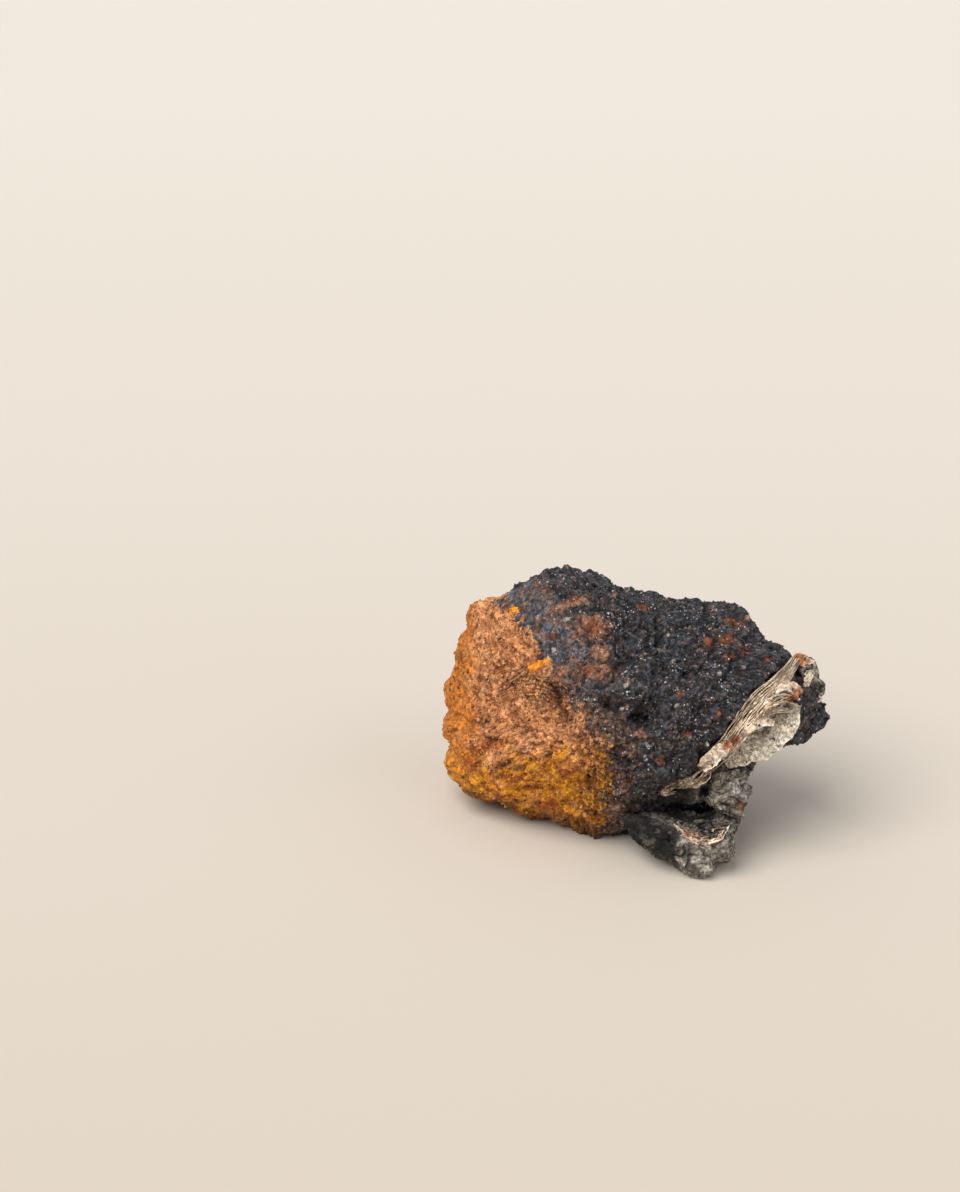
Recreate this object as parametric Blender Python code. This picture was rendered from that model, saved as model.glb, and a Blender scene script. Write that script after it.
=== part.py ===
"""A broken lump of chaga, the birch fungus, with the birch bark that came off the trunk with it.

The lump is one grown solid: a black, knobbly crust over a rust-coloured, corky inside, which shows on the
broken left end. It lies on the flat face where it was cut from the trunk. Five pieces of bark cling to its
right and lower front.

Units are metres, +Z is up, the front faces -Y, and the origin is on the surface, below the middle of the part.
"""

import math
from dataclasses import dataclass

import bmesh
import bpy
import numpy as np

MM = 0.001
TURN = 2 * math.pi

# Forms are drawn in three directions of a view from the front, from this far above the horizon:
# right, up, and towards the eye. Lengths there are millimetres from the middle of the lump.
LOOK_DOWN = math.radians(26)
VIEW = np.array([
    [1.0, 0.0, 0.0],
    [0.0, math.sin(LOOK_DOWN), math.cos(LOOK_DOWN)],
    [0.0, -math.cos(LOOK_DOWN), math.sin(LOOK_DOWN)],
])
MIDDLE = np.array([-5.0, 4.0, 35.0])
# The right end stands this much nearer to the eye than the left, for each unit of width.
SLANT = 0.22
# Pieces of bark stop this far from what they cling to.
GAP = 0.35
# The lump's own steep sides need a wider one, measured away from its middle.
MASS_GAP = 0.45


@dataclass(frozen=True)
class Lump:
    """A rounded solid grown around its own centre: the edge seen from the front, a depth and broken flats."""

    centre: tuple
    edge: tuple
    front: float
    back: float
    # 2 swells like an ellipsoid, and more is boxier.
    boxiness: float
    # Each flat: the way it faces, and its distance from the centre.
    flats: tuple
    # Each swell or hollow on the near side: right, up, height, breadth along and across, turn in degrees.
    swells: tuple
    # Faces along each side of the cube that the solid starts from.
    faces: int
    # Height and spacing of the knobs all over it.
    knob_height: float
    knob_spacing: float
    seed: int


FLAT_SHARPNESS = 18
# Raises the knobs so that they leave the lump's size as it is.
KNOB_LEVEL = 0.3
# Swells fade out over this depth behind the edge of the near side.
NEAR_SIDE_FADE = 8
# Spacing of the waves in a ribbon's surface.
WAVE_SPACING = 5

MASS = Lump(
    centre=(0, 0, 0),
    edge=(
        (-21, 38.5), (-12, 39.5), (-4, 37.5), (3, 32.5), (11, 31), (22, 31.5), (30, 30), (39, 26), (42.5, 21.5),
        (47, 18), (53, 14.5), (57, 10), (61, 4), (64.5, -2), (63, -7), (56.5, -10.5), (50, -12.5), (43, -14),
        (39, -20), (35, -27), (27, -32), (14, -34.5), (3, -36), (-9, -36.5), (-17, -34.5), (-26, -32),
        (-35, -29), (-43, -27), (-47.5, -24.5), (-49.5, -19.5), (-53, -12), (-54, -4), (-53, 4), (-50, 13),
        (-48.5, 19.5), (-47.5, 27), (-43, 31), (-38, 32), (-33, 32), (-28, 35),
    ),
    front=36,
    back=38,
    boxiness=2.35,
    flats=(
        ((-0.60, 0.02, 0.80), 33.0),
        ((-0.94, -0.05, 0.33), 50.0),
        ((-0.20, -0.70, 0.68), 33.5),
        ((0.655, -0.544, 0.52), 42.0),
        ((0.30, 0.62, 0.72), 35.0),
        ((-0.38, 0.05, -0.92), 29.0),
        ((0.45, 0.45, -0.77), 33.0),
        ((-0.80, 0.35, -0.48), 46.0),
        ((0.85, -0.20, -0.48), 58.0),
    ),
    swells=(
        (-15, 22, -2.0, 10, 4, 25),
        (-5, 17, 1.5, 9, 5, 75),
        (8, -3, -4.0, 6, 3.5, 30),
        (24, 8, 2.5, 12, 9, 30),
        (1, 27, 2.0, 12, 5, 0),
        (-24, 4, 1.8, 7, 4, 40),
        (-18, 2, -2.0, 5, 2.0, 70),
        (-28, -16, 2.5, 14, 5, -20),
        (-33, 12, -1.5, 4, 3.0, 0),
        (24, -29, -8.0, 14, 6, 10),
        (33, -20, -4.0, 9, 6, 45),
        (46, -4, -4.5, 14, 3.0, 52),
        (38, -3, -3.5, 17, 2.6, 49),
    ),
    faces=23,
    knob_height=1.9,
    knob_spacing=12.0,
    seed=3,
)
# The underside bulges back and down to the cut, so that the lump sits on a broad face.
FOOT_WAY = np.array([0.05, -0.74, -0.67])
FOOT_HEIGHT = 9.0
FOOT_BREADTH = 0.62

SLAB_MIDDLE = Lump(
    centre=(28, -25, 9),
    edge=((-19, -2.5), (-15, 0), (-9, 2.5), (-4, 5.5), (2, 6.5), (7, 6), (10.5, 2), (10, -3), (8, -7), (3, -6),
          (-2, -3.5), (-10, -4)),
    front=9,
    back=15,
    boxiness=3.0,
    flats=(((0.0, 0.5, 0.87), 8.5),),
    swells=((-2, 1, -2.0, 5, 2.5, 70),),
    faces=8,
    knob_height=1.0,
    knob_spacing=7.0,
    seed=11,
)
SLAB_LOWER = Lump(
    centre=(21, -39, 12),
    edge=(
        (-19, 6.5), (-8, 7), (4, 7), (13.5, 7), (14, 0), (13, -6), (9, -7.5), (7, -11), (3, -12.5), (-1, -11),
        (-5, -7), (-12, -3.5), (-17, 2),
    ),
    front=14,
    back=16,
    boxiness=3.0,
    flats=(((0.05, 0.90, 0.44), 7.5), ((0.25, -0.35, 0.90), 13.5)),
    swells=((8, -4, -1.5, 1.5, 6, 0),),
    faces=8,
    knob_height=0.9,
    knob_spacing=7.0,
    seed=17,
)
HOOK = Lump(
    centre=(58, 8.5, 7),
    edge=((-5, 6), (0, 6.5), (2, 4), (2.5, 0), (4.5, -3), (3, -6), (-0.5, -5), (-3, -1)),
    front=5,
    back=5,
    boxiness=2.4,
    flats=(),
    swells=(),
    faces=5,
    knob_height=0.4,
    knob_spacing=4.0,
    seed=23,
)


@dataclass(frozen=True)
class Ribbon:
    """A strip of bark carried along a path: each station is right, up, front, half width and half thickness."""

    stations: tuple
    # How far the middle of a section sinks below its edges, for each unit of half width.
    curl: float
    # The sections turn about the path by this much, from facing the eye.
    twist: float
    rings: int
    sides: int
    waviness: float
    seed: int


STRIP = Ribbon(
    stations=(
        (53.5, 14.5, 8, 1.4, 3.0), (50.3, 10.3, 14, 1.6, 3.5), (47, 6.6, 19.5, 2.2, 4), (43.2, 3, 23, 2.8, 4.2),
        (39.7, -1, 25, 3.3, 4.3), (36.6, -5.2, 25.5, 3.0, 4.3), (33.4, -9.6, 25, 2.7, 4.3),
        (29.6, -13.9, 23.5, 2.4, 4.2), (25, -18.5, 21.5, 2.0, 4),
    ),
    curl=0.0,
    twist=0.0,
    rings=15,
    sides=10,
    waviness=0.5,
    seed=31,
)
FLAP = Ribbon(
    stations=(
        (31, -16.5, 16, 1.8, 1.4), (34.5, -14.6, 17, 3.4, 1.5), (39, -12, 17.5, 4.8, 1.5), (43.9, -8.6, 18, 5.5, 1.4),
        (48.6, -3.4, 18, 4.8, 1.2), (52, 1.8, 15.5, 2.6, 1.0),
    ),
    curl=0.30,
    twist=0.35,
    rings=12,
    sides=12,
    waviness=0.4,
    seed=37,
)

# Colour and roughness of each piece.
FINISHES = {
    "chaga_crust": ((0.035, 0.031, 0.032), 0.75),
    "bark_cream": ((0.42, 0.33, 0.25), 0.8),
    "bark_grey": ((0.27, 0.23, 0.18), 0.85),
    "bark_dark": ((0.09, 0.075, 0.06), 0.85),
}


def smooth_noise(points, seed):
    """Return noise from about -1 to 1: random slopes at the corners of a unit grid, blended inside each cell."""
    dice = np.random.default_rng(seed)
    shuffle = dice.permutation(256)
    slopes = dice.normal(size=(256, 3))
    slopes /= np.linalg.norm(slopes, axis=1, keepdims=True)
    cell = np.floor(points).astype(int)
    inside = points - cell
    fade = inside ** 3 * (inside * (inside * 6 - 15) + 10)
    total = np.zeros(len(points))
    for corner in np.ndindex(2, 2, 2):
        at = (cell + corner) & 255
        slope = slopes[shuffle[(shuffle[(shuffle[at[:, 0]] + at[:, 1]) & 255] + at[:, 2]) & 255]]
        weight = np.prod(np.where(corner, fade, 1 - fade), axis=1)
        total += weight * np.sum(slope * (inside - corner), axis=1)
    return total * 1.5


def knobs(points, spacing, seed):
    """Return rounded knobs parted by creases, from about -1 to 1, over two sizes."""
    coarse = 1 - 3.0 * np.abs(smooth_noise(points / spacing, seed))
    fine = 1 - 3.0 * np.abs(smooth_noise(points / spacing * 2.1, seed + 1))
    return KNOB_LEVEL - 0.7 * coarse - 0.3 * fine


def closed_curve(angles, knots, values):
    """Return a smooth closed curve through values at the knots: a cubic with each point's chord as its slope."""
    knots = np.concatenate([knots[-2:] - TURN, knots, knots[:2] + TURN])
    values = np.concatenate([values[-2:], values, values[:2]])
    slopes = np.zeros_like(values)
    slopes[1:-1] = (values[2:] - values[:-2]) / (knots[2:] - knots[:-2])
    i = np.clip(np.searchsorted(knots, angles) - 1, 1, len(knots) - 3)
    span = knots[i + 1] - knots[i]
    t = (angles - knots[i]) / span
    start = values[i] * (1 + 2 * t) * (1 - t) ** 2 + span * slopes[i] * t * (1 - t) ** 2
    end = values[i + 1] * t ** 2 * (3 - 2 * t) - span * slopes[i + 1] * t ** 2 * (1 - t)
    return start + end


def edge_reach(lump, ways):
    """Return the distance from the centre to the edge seen from the front, towards each way."""
    edge = np.array(lump.edge, float)
    knots = np.arctan2(edge[:, 1], edge[:, 0])
    order = np.argsort(knots)
    return closed_curve(np.arctan2(ways[:, 1], ways[:, 0]), knots[order], np.hypot(*edge.T)[order])


def swell_heights(lump, points):
    """Return how far the near side's swells and hollows lift each point: bell shapes in right and up."""
    lift = np.zeros(len(points))
    near = np.clip(points[:, 2] / NEAR_SIDE_FADE, 0, 1)
    for right, up, height, along, across, degrees in lump.swells:
        turn = math.radians(degrees)
        x = points[:, 0] - right
        y = points[:, 1] - up
        u = (x * math.cos(turn) + y * math.sin(turn)) / along
        v = (y * math.cos(turn) - x * math.sin(turn)) / across
        lift += height * np.exp(-(u ** 2 + v ** 2)) * near
    return lift


def lump_reach(lump, ways):
    """Return the distance from the centre to the surface: swollen edge, flats, swells and knobs, in that order."""
    sideways = np.hypot(ways[:, 0], ways[:, 1])
    depth = np.where(ways[:, 2] > 0, lump.front, lump.back)
    sum_of_powers = (sideways / edge_reach(lump, ways)) ** lump.boxiness + (abs(ways[:, 2]) / depth) ** lump.boxiness
    reach = sum_of_powers ** (-1 / lump.boxiness)
    if lump is MASS:
        away = np.arccos(np.clip(ways @ FOOT_WAY / np.linalg.norm(FOOT_WAY), -1, 1))
        reach += FOOT_HEIGHT * np.exp(-((away / FOOT_BREADTH) ** 2))
    inverse = reach ** -FLAT_SHARPNESS
    for facing, distance in lump.flats:
        facing = np.array(facing) / np.linalg.norm(facing)
        inverse += (np.clip(ways @ facing, 0, None) / distance) ** FLAT_SHARPNESS
    reach = inverse ** (-1 / FLAT_SHARPNESS)
    points = ways * reach[:, None]
    reach += swell_heights(lump, points)
    reach += lump.knob_height * knobs(points, lump.knob_spacing, lump.seed)
    return reach


def place(points):
    """Turn points in the view's directions, in millimetres from the lump's middle, to world points in metres."""
    slanted = points.copy()
    slanted[:, 2] += SLANT * points[:, 0]
    return (MIDDLE + slanted @ VIEW) * MM


def lump_points(lump, ways, grow):
    """Return world points of the lump's surface, grown outwards by a distance, and cut off flat at the ground."""
    reach = lump_reach(lump, ways) + grow
    centre = place(np.array([lump.centre], float))[0]
    points = place(np.array(lump.centre) + ways * reach[:, None])
    below = points[:, 2] < 0
    share = centre[2] / (centre[2] - points[below, 2])
    points[below] = centre + (points[below] - centre) * share[:, None]
    points[below, 2] = 0
    return points


def new_object(name, mesh, collection):
    """Put a bmesh into a new object of that name."""
    data = bpy.data.meshes.new(name)
    mesh.to_mesh(data)
    mesh.free()
    piece = bpy.data.objects.new(name, data)
    collection.objects.link(piece)
    return piece


def make_lump(name, lump, collection, grow=0.0):
    """Blow a finely divided cube up to the lump's surface."""
    mesh = bmesh.new()
    bmesh.ops.create_cube(mesh, size=2)
    bmesh.ops.subdivide_edges(mesh, edges=mesh.edges[:], cuts=lump.faces - 1, use_grid_fill=True)
    corners = np.array([v.co for v in mesh.verts])
    ways = np.tan(corners * math.pi / 4)
    ways /= np.linalg.norm(ways, axis=1, keepdims=True)
    for vertex, point in zip(mesh.verts, lump_points(lump, ways, grow)):
        vertex.co = point
    bmesh.ops.triangulate(mesh, faces=mesh.faces[:])
    return new_object(name, mesh, collection)


def make_ribbon(name, ribbon, collection, grow=0.0):
    """Loft an oval section, bent by its curl, along a smooth path through the ribbon's stations."""
    stations = np.array(ribbon.stations)
    along = np.linspace(0, len(stations) - 1, ribbon.rings)
    smooth = np.array([open_curve(along, stations[:, k]) for k in range(5)]).T
    path = smooth[:, :3]
    heading = np.gradient(path, axis=0)
    heading /= np.linalg.norm(heading, axis=1, keepdims=True)
    across = np.cross(heading, (0, 0, 1))
    across /= np.linalg.norm(across, axis=1, keepdims=True)
    out = np.cross(across, heading)
    across, out = (
        across * math.cos(ribbon.twist) + out * math.sin(ribbon.twist),
        out * math.cos(ribbon.twist) - across * math.sin(ribbon.twist),
    )
    mesh = bmesh.new()
    rings = []
    angles = np.arange(ribbon.sides) * TURN / ribbon.sides
    for k in range(ribbon.rings):
        half_width = smooth[k, 3] + grow
        half_thickness = smooth[k, 4] + grow
        side = half_width * np.cos(angles)
        rise = half_thickness * np.sign(np.sin(angles)) * abs(np.sin(angles)) ** 0.7
        rise += ribbon.curl * (side ** 2 / half_width - half_width / 2)
        section = path[k] + side[:, None] * across[k] + rise[:, None] * out[k]
        section += ribbon.waviness * smooth_noise(section / WAVE_SPACING, ribbon.seed)[:, None] * out[k]
        rings.append([mesh.verts.new(p) for p in place(section)])
    for first, second in zip(rings, rings[1:]):
        for j in range(ribbon.sides):
            after = (j + 1) % ribbon.sides
            mesh.faces.new((first[j], first[after], second[after], second[j]))
    mesh.faces.new(rings[0][::-1])
    mesh.faces.new(rings[-1])
    bmesh.ops.recalc_face_normals(mesh, faces=mesh.faces[:])
    bmesh.ops.triangulate(mesh, faces=mesh.faces[:])
    return new_object(name, mesh, collection)


def open_curve(along, values):
    """Return a smooth curve through values at 0, 1, 2 and so on, read at the given places."""
    padded = np.concatenate([[2 * values[0] - values[1]], values, [2 * values[-1] - values[-2]]])
    slopes = (padded[2:] - padded[:-2]) / 2
    i = np.clip(along.astype(int), 0, len(values) - 2)
    t = along - i
    start = values[i] * (1 + 2 * t) * (1 - t) ** 2 + slopes[i] * t * (1 - t) ** 2
    end = values[i + 1] * t ** 2 * (3 - 2 * t) - slopes[i + 1] * t ** 2 * (1 - t)
    return start + end


def finish(piece, name):
    """Give a piece the finish of that name, made once."""
    material = bpy.data.materials.get(name)
    if material is None:
        colour, roughness = FINISHES[name]
        material = bpy.data.materials.new(name)
        material.use_nodes = True
        shader = material.node_tree.nodes["Principled BSDF"]
        shader.inputs["Base Color"].default_value = (*colour, 1)
        shader.inputs["Roughness"].default_value = roughness
        shader.inputs["Metallic"].default_value = 0.0
    piece.data.materials.append(material)


def cut_by(piece, cutter):
    """Take a grown copy of a neighbour out of a piece, so that the two meet with a gap."""
    cut = piece.modifiers.new(f"clear_of_{cutter.name}", "BOOLEAN")
    cut.operation = "DIFFERENCE"
    cut.object = cutter


def main():
    for old in list(bpy.data.objects):
        bpy.data.objects.remove(old)
    parts = bpy.data.collections.new("chaga")
    cutters = bpy.data.collections.new("chaga_cutters")
    for collection in (parts, cutters):
        bpy.context.scene.collection.children.link(collection)

    mass = make_lump("chaga_mass", MASS, parts)
    strip = make_ribbon("bark_strip_upper", STRIP, parts)
    flap = make_ribbon("bark_flap_right", FLAP, parts)
    hook = make_lump("bark_hook_top", HOOK, parts)
    slab_middle = make_lump("bark_slab_middle", SLAB_MIDDLE, parts)
    slab_lower = make_lump("bark_slab_lower", SLAB_LOWER, parts)

    grown_mass = make_lump("grown_mass", MASS, cutters, MASS_GAP)
    grown_strip = make_ribbon("grown_strip", STRIP, cutters, GAP)
    grown_middle = make_lump("grown_middle", SLAB_MIDDLE, cutters, GAP)
    for cutter in (grown_mass, grown_strip, grown_middle):
        cutter.hide_render = True
        cutter.display_type = "WIRE"
    for piece in (strip, flap, hook, slab_middle, slab_lower):
        cut_by(piece, grown_mass)
    for piece in (flap, hook, slab_middle):
        cut_by(piece, grown_strip)
    cut_by(flap, grown_middle)
    cut_by(slab_lower, grown_middle)

    finish(mass, "chaga_crust")
    finish(strip, "bark_cream")
    finish(flap, "bark_grey")
    finish(hook, "bark_grey")
    finish(slab_middle, "bark_grey")
    finish(slab_lower, "bark_dark")


main()
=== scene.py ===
"""The looks of a broken lump of chaga: cindery crust, corky broken face, and the birch bark below."""

import logging
import math
from dataclasses import dataclass, field, replace
from enum import Enum
from typing import Optional, Sequence

import bpy
import numpy as np
from mathutils import Matrix


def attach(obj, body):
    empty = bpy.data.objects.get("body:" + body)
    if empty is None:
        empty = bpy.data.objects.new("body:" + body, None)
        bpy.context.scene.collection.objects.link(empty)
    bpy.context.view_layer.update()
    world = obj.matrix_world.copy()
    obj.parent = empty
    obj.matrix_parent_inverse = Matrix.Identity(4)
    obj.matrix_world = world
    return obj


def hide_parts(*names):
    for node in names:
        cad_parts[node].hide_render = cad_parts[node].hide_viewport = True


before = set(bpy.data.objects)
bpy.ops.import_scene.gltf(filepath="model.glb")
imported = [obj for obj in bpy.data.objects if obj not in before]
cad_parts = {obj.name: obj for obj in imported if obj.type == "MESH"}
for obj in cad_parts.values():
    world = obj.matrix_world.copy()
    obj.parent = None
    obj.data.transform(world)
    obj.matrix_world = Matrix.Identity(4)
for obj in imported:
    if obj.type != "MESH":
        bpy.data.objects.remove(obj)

LOG = logging.getLogger("chaga")
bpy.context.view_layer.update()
MM = 0.001
TURN = 2 * math.pi
Array = np.ndarray
Colour = tuple[float, float, float]
Way = tuple[float, float, float]
Pair = tuple[float, float]
Dice = np.random.Generator
Socket = bpy.types.NodeSocket
# Rows of right, up, front, half width and half thickness along a strip or sheet, in millimetres
Stations = tuple[tuple[float, ...], ...]


# The view that the forms are drawn in


@dataclass(frozen=True)
class View:
    """Right, up and towards the eye, in millimetres from the lump's middle, as the photograph shows it."""

    look_down: float = math.radians(26)
    middle: Way = (-5.0, 4.0, 35.0)
    slant: float = 0.22

    @property
    def axes(self) -> Array:
        """Return the world directions of right, up and towards the eye, as rows."""
        sine, cosine = math.sin(self.look_down), math.cos(self.look_down)
        return np.array([[1.0, 0.0, 0.0], [0.0, sine, cosine], [0.0, -cosine, sine]])

    def place(self, points: Array) -> Array:
        """Return world points in metres. The slant brings the right end nearer, for each unit of width."""
        slanted = points + self.slant * points[:, :1] * np.array([0.0, 0.0, 1.0])
        return (np.array(self.middle) + slanted @ self.axes) * MM


VIEW = View()


# Noise and shaping functions


def step(low: float, high: float, values: Array) -> Array:
    """Return a soft step from 0 at low to 1 at high."""
    t = np.clip((values - low) / (high - low), 0, 1)
    return t * t * (3 - 2 * t)


def smooth_noise(points: Array, seed: int) -> Array:
    """Work out noise from about -1 to 1: random slopes at the corners of a unit grid, blended in each cell.

    Args:
        points: Places, one a row, in units of the noise's spacing.
        seed: Which noise.

    Returns:
        One value a place.
    """
    dice = np.random.default_rng(seed)
    shuffle = dice.permutation(256)
    slopes = dice.normal(size=(256, 3))
    slopes /= np.linalg.norm(slopes, axis=1, keepdims=True)
    cell = np.floor(points).astype(int)
    inside = points - cell
    fade = inside ** 3 * (inside * (inside * 6 - 15) + 10)
    total = np.zeros(len(points))
    for corner in np.ndindex(2, 2, 2):
        at = (cell + corner) & 255
        slope = slopes[shuffle[(shuffle[(shuffle[at[:, 0]] + at[:, 1]) & 255] + at[:, 2]) & 255]]
        weight = np.prod(np.where(corner, fade, 1 - fade), axis=1)
        total += weight * np.sum(slope * (inside - corner), axis=1)
    return total * 1.5


def fractal(points: Array, spacing: float, seed: int, octaves: int = 3) -> Array:
    """Sum smooth noise over sizes, each half the size and half the height of the one before.

    Args:
        points: Places, one a row.
        spacing: The largest size.
        seed: Which noise.
        octaves: How many sizes.

    Returns:
        One value a place.
    """
    total = np.zeros(len(points))
    for octave in range(octaves):
        total += smooth_noise(points / spacing * 2 ** octave + 7.3 * octave, seed + octave) / 2 ** octave
    return total


def unit_rows(rows: Array) -> Array:
    """Return rows brought to length 1."""
    return rows / np.linalg.norm(rows, axis=-1, keepdims=True)


def ridges(points: Array, spacing: float, seed: int) -> Array:
    """Return sharp ridges, about -1 in the troughs and 1 on the crests: 1 less the size of smooth noise."""
    return 1 - 2.5 * np.abs(smooth_noise(points / spacing, seed))


@dataclass
class Cells:
    """Distances to the nearest and second nearest of scattered points, and each cell's number from 0 to 1."""

    nearest: Array
    second: Array
    number: Array

    @property
    def seam(self) -> Array:
        """Return the distance to the border between two cells, 0 on it."""
        return self.second - self.nearest


def scattered_cells(points: Array, spacing: float, seed: int) -> Cells:
    """Share out space among random points, one in each cube of a grid, in units of the spacing.

    Args:
        points: Places, one a row.
        spacing: Size of the cubes.
        seed: Which cells.

    Returns:
        The distances and the cell's number at each place.
    """
    dice = np.random.default_rng(seed)
    shuffle = dice.permutation(256)
    jitter = dice.random((256, 3))
    number = dice.random(256)
    scaled = points / spacing
    cell = np.floor(scaled).astype(int)
    nearest = np.full(len(points), 9.0)
    second = np.full(len(points), 9.0)
    owner = np.zeros(len(points), int)
    for offset in np.ndindex(3, 3, 3):
        at = cell + offset - 1
        key = shuffle[(shuffle[(shuffle[at[:, 0] & 255] + at[:, 1]) & 255] + at[:, 2]) & 255]
        away = np.linalg.norm(at + jitter[key] - scaled, axis=1)
        closer = away < nearest
        second = np.where(closer, nearest, np.minimum(second, away))
        owner = np.where(closer, key, owner)
        nearest = np.where(closer, away, nearest)
    return Cells(nearest, second, number[owner])


def closed_curve(angles: Array, knots: Array, values: Array) -> Array:
    """Read a smooth closed curve: a cubic between knots, its slope at each the chord of the knots beside it.

    Args:
        angles: Where to read it.
        knots: Rising angles within one turn.
        values: The curve's values at the knots.

    Returns:
        One value for each angle.
    """
    knots = np.concatenate([knots[-2:] - TURN, knots, knots[:2] + TURN])
    values = np.concatenate([values[-2:], values, values[:2]])
    slopes = np.zeros_like(values)
    slopes[1:-1] = (values[2:] - values[:-2]) / (knots[2:] - knots[:-2])
    i = np.clip(np.searchsorted(knots, angles) - 1, 1, len(knots) - 3)
    span = knots[i + 1] - knots[i]
    t = (angles - knots[i]) / span
    start = values[i] * (1 + 2 * t) * (1 - t) ** 2 + span * slopes[i] * t * (1 - t) ** 2
    end = values[i + 1] * t ** 2 * (3 - 2 * t) - span * slopes[i + 1] * t ** 2 * (1 - t)
    return start + end


def open_curve(along: Array, values: Array) -> Array:
    """Read a smooth open curve, of the same cubics as the closed one.

    Args:
        along: Where to read it, counted in rows.
        values: The rows that it passes, at 0, 1, 2 and so on.

    Returns:
        One row for each place.
    """
    padded = np.concatenate([[2 * values[0] - values[1]], values, [2 * values[-1] - values[-2]]])
    slopes = (padded[2:] - padded[:-2]) / 2
    i = np.clip(along.astype(int), 0, len(values) - 2)
    t = (along - i)[:, None]
    start = values[i] * (1 + 2 * t) * (1 - t) ** 2 + slopes[i] * t * (1 - t) ** 2
    end = values[i + 1] * t ** 2 * (3 - 2 * t) - slopes[i + 1] * t ** 2 * (1 - t)
    return start + end


# Surfaces and meshes


@dataclass
class Surface:
    """Points, triangles, and numbers that the finish reads, one for each point."""

    points: Array
    faces: Array
    masks: dict[str, Array] = field(default_factory=dict)

    def to_object(self, name: str, material: bpy.types.Material) -> bpy.types.Object:
        """Make a smooth-shaded object at the origin, with the masks as attributes.

        Args:
            name: The object's name.
            material: Its finish.

        Returns:
            The object, in the scene.
        """
        mesh = bpy.data.meshes.new(name)
        count = len(self.faces)
        mesh.vertices.add(len(self.points))
        mesh.vertices.foreach_set("co", self.points.astype(np.float32).ravel())
        mesh.loops.add(count * 3)
        mesh.loops.foreach_set("vertex_index", self.faces.astype(np.int32).ravel())
        mesh.polygons.add(count)
        mesh.polygons.foreach_set("loop_start", np.arange(0, count * 3, 3, dtype=np.int32))
        mesh.update(calc_edges=True)
        mesh.shade_smooth()
        for mask, values in self.masks.items():
            attribute = mesh.attributes.new(mask, "FLOAT", "POINT")
            attribute.data.foreach_set("value", np.asarray(values, np.float32))
        mesh.materials.append(material)
        return in_scene(name, mesh)


def in_scene(name: str, data: bpy.types.ID) -> bpy.types.Object:
    """Return a new object in the scene, made of a mesh, light or camera."""
    piece = bpy.data.objects.new(name, data)
    bpy.context.scene.collection.objects.link(piece)
    return piece


def on_ground(points: Array) -> Array:
    """Return points with those below the ground lifted onto it."""
    points[:, 2] = np.maximum(points[:, 2], 0)
    return points


def join(surfaces: Sequence[Surface]) -> Surface:
    """Put surfaces that carry the same masks together.

    Args:
        surfaces: The surfaces, in order.

    Returns:
        One surface.
    """
    counts = np.cumsum([0] + [len(s.points) for s in surfaces])
    faces = np.concatenate([s.faces + start for s, start in zip(surfaces, counts)])
    masks = {name: np.concatenate([s.masks[name] for s in surfaces]) for name in surfaces[0].masks}
    return Surface(np.concatenate([s.points for s in surfaces]), faces, masks)


def halves(quads: Array) -> Array:
    """Return two triangles for each four-cornered face."""
    return np.concatenate([quads[:, [0, 1, 2]], quads[:, [0, 2, 3]]])


def cube_ball(count: int, crowding: Way = (0.0, 0.0, 0.0)) -> tuple[Array, Array]:
    """Cover a ball with six square patches, joined at their seams.

    Each patch is a grid of two parameters from -1 to 1. The tangent of an eighth turn times each of them,
    with 1 as the third length, points out through the cube's side, and is brought to length 1. Adding the
    crowding and bringing it to length 1 again draws the points together on that side.

    Args:
        count: Steps along a patch.
        crowding: The way to the side where the points lie closer, longer for closer.

    Returns:
        The unit ways out of the ball's middle, and its triangles.
    """
    steps = np.arange(count + 1)
    first, second = (grid.ravel() for grid in np.meshgrid(steps, steps, indexing="ij"))
    corner = (steps[:-1, None] * (count + 1) + steps[None, :-1]).ravel()
    quad = np.stack([corner, corner + count + 1, corner + count + 2, corner + 1], axis=1)
    keys = []
    quads = []
    for axis in range(3):
        for side in (0, count):
            key = np.empty((len(first), 3), int)
            key[:, axis] = side
            key[:, (axis + 1) % 3] = first
            key[:, (axis + 2) % 3] = second
            keys.append(key)
            outward = quad if side else quad[:, ::-1]
            quads.append(outward + len(first) * (len(keys) - 1))
    unique, index = np.unique(np.concatenate(keys), axis=0, return_inverse=True)
    ways = np.tan((unique / count * 2 - 1) * math.pi / 4)
    ways = unit_rows(unit_rows(ways) + np.array(crowding))
    return ways, halves(index.ravel()[np.concatenate(quads)])


def tube_faces(rings: int, sides: int) -> Array:
    """Number the triangles of a tube of rings, closed by a fan at each end.

    Args:
        rings: How many rings.
        sides: How many points in a ring.

    Returns:
        The triangles. The tips of the fans are the last two points.
    """
    ring = np.arange(rings - 1)[:, None] * sides
    side = np.arange(sides)[None, :]
    after = (side + 1) % sides
    first = (ring + side).ravel()
    second = (ring + after).ravel()
    walls = halves(np.stack([first, second, second + sides, first + sides], axis=1))
    side = side.ravel()
    after = after.ravel()
    last = (rings - 1) * sides
    tip = rings * sides
    start = np.stack([after, side, np.full(sides, tip)], axis=1)
    end = np.stack([last + side, last + after, np.full(sides, tip + 1)], axis=1)
    return np.concatenate([walls, start, end])


def closed_tube(rings: Array) -> tuple[Array, Array]:
    """Return the points and triangles of a closed tube through rings of points, given as rings, sides, 3."""
    tips = np.stack([rings[0].mean(axis=0), rings[-1].mean(axis=0)])
    return np.concatenate([rings.reshape(-1, 3), tips]), tube_faces(*rings.shape[:2])


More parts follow.
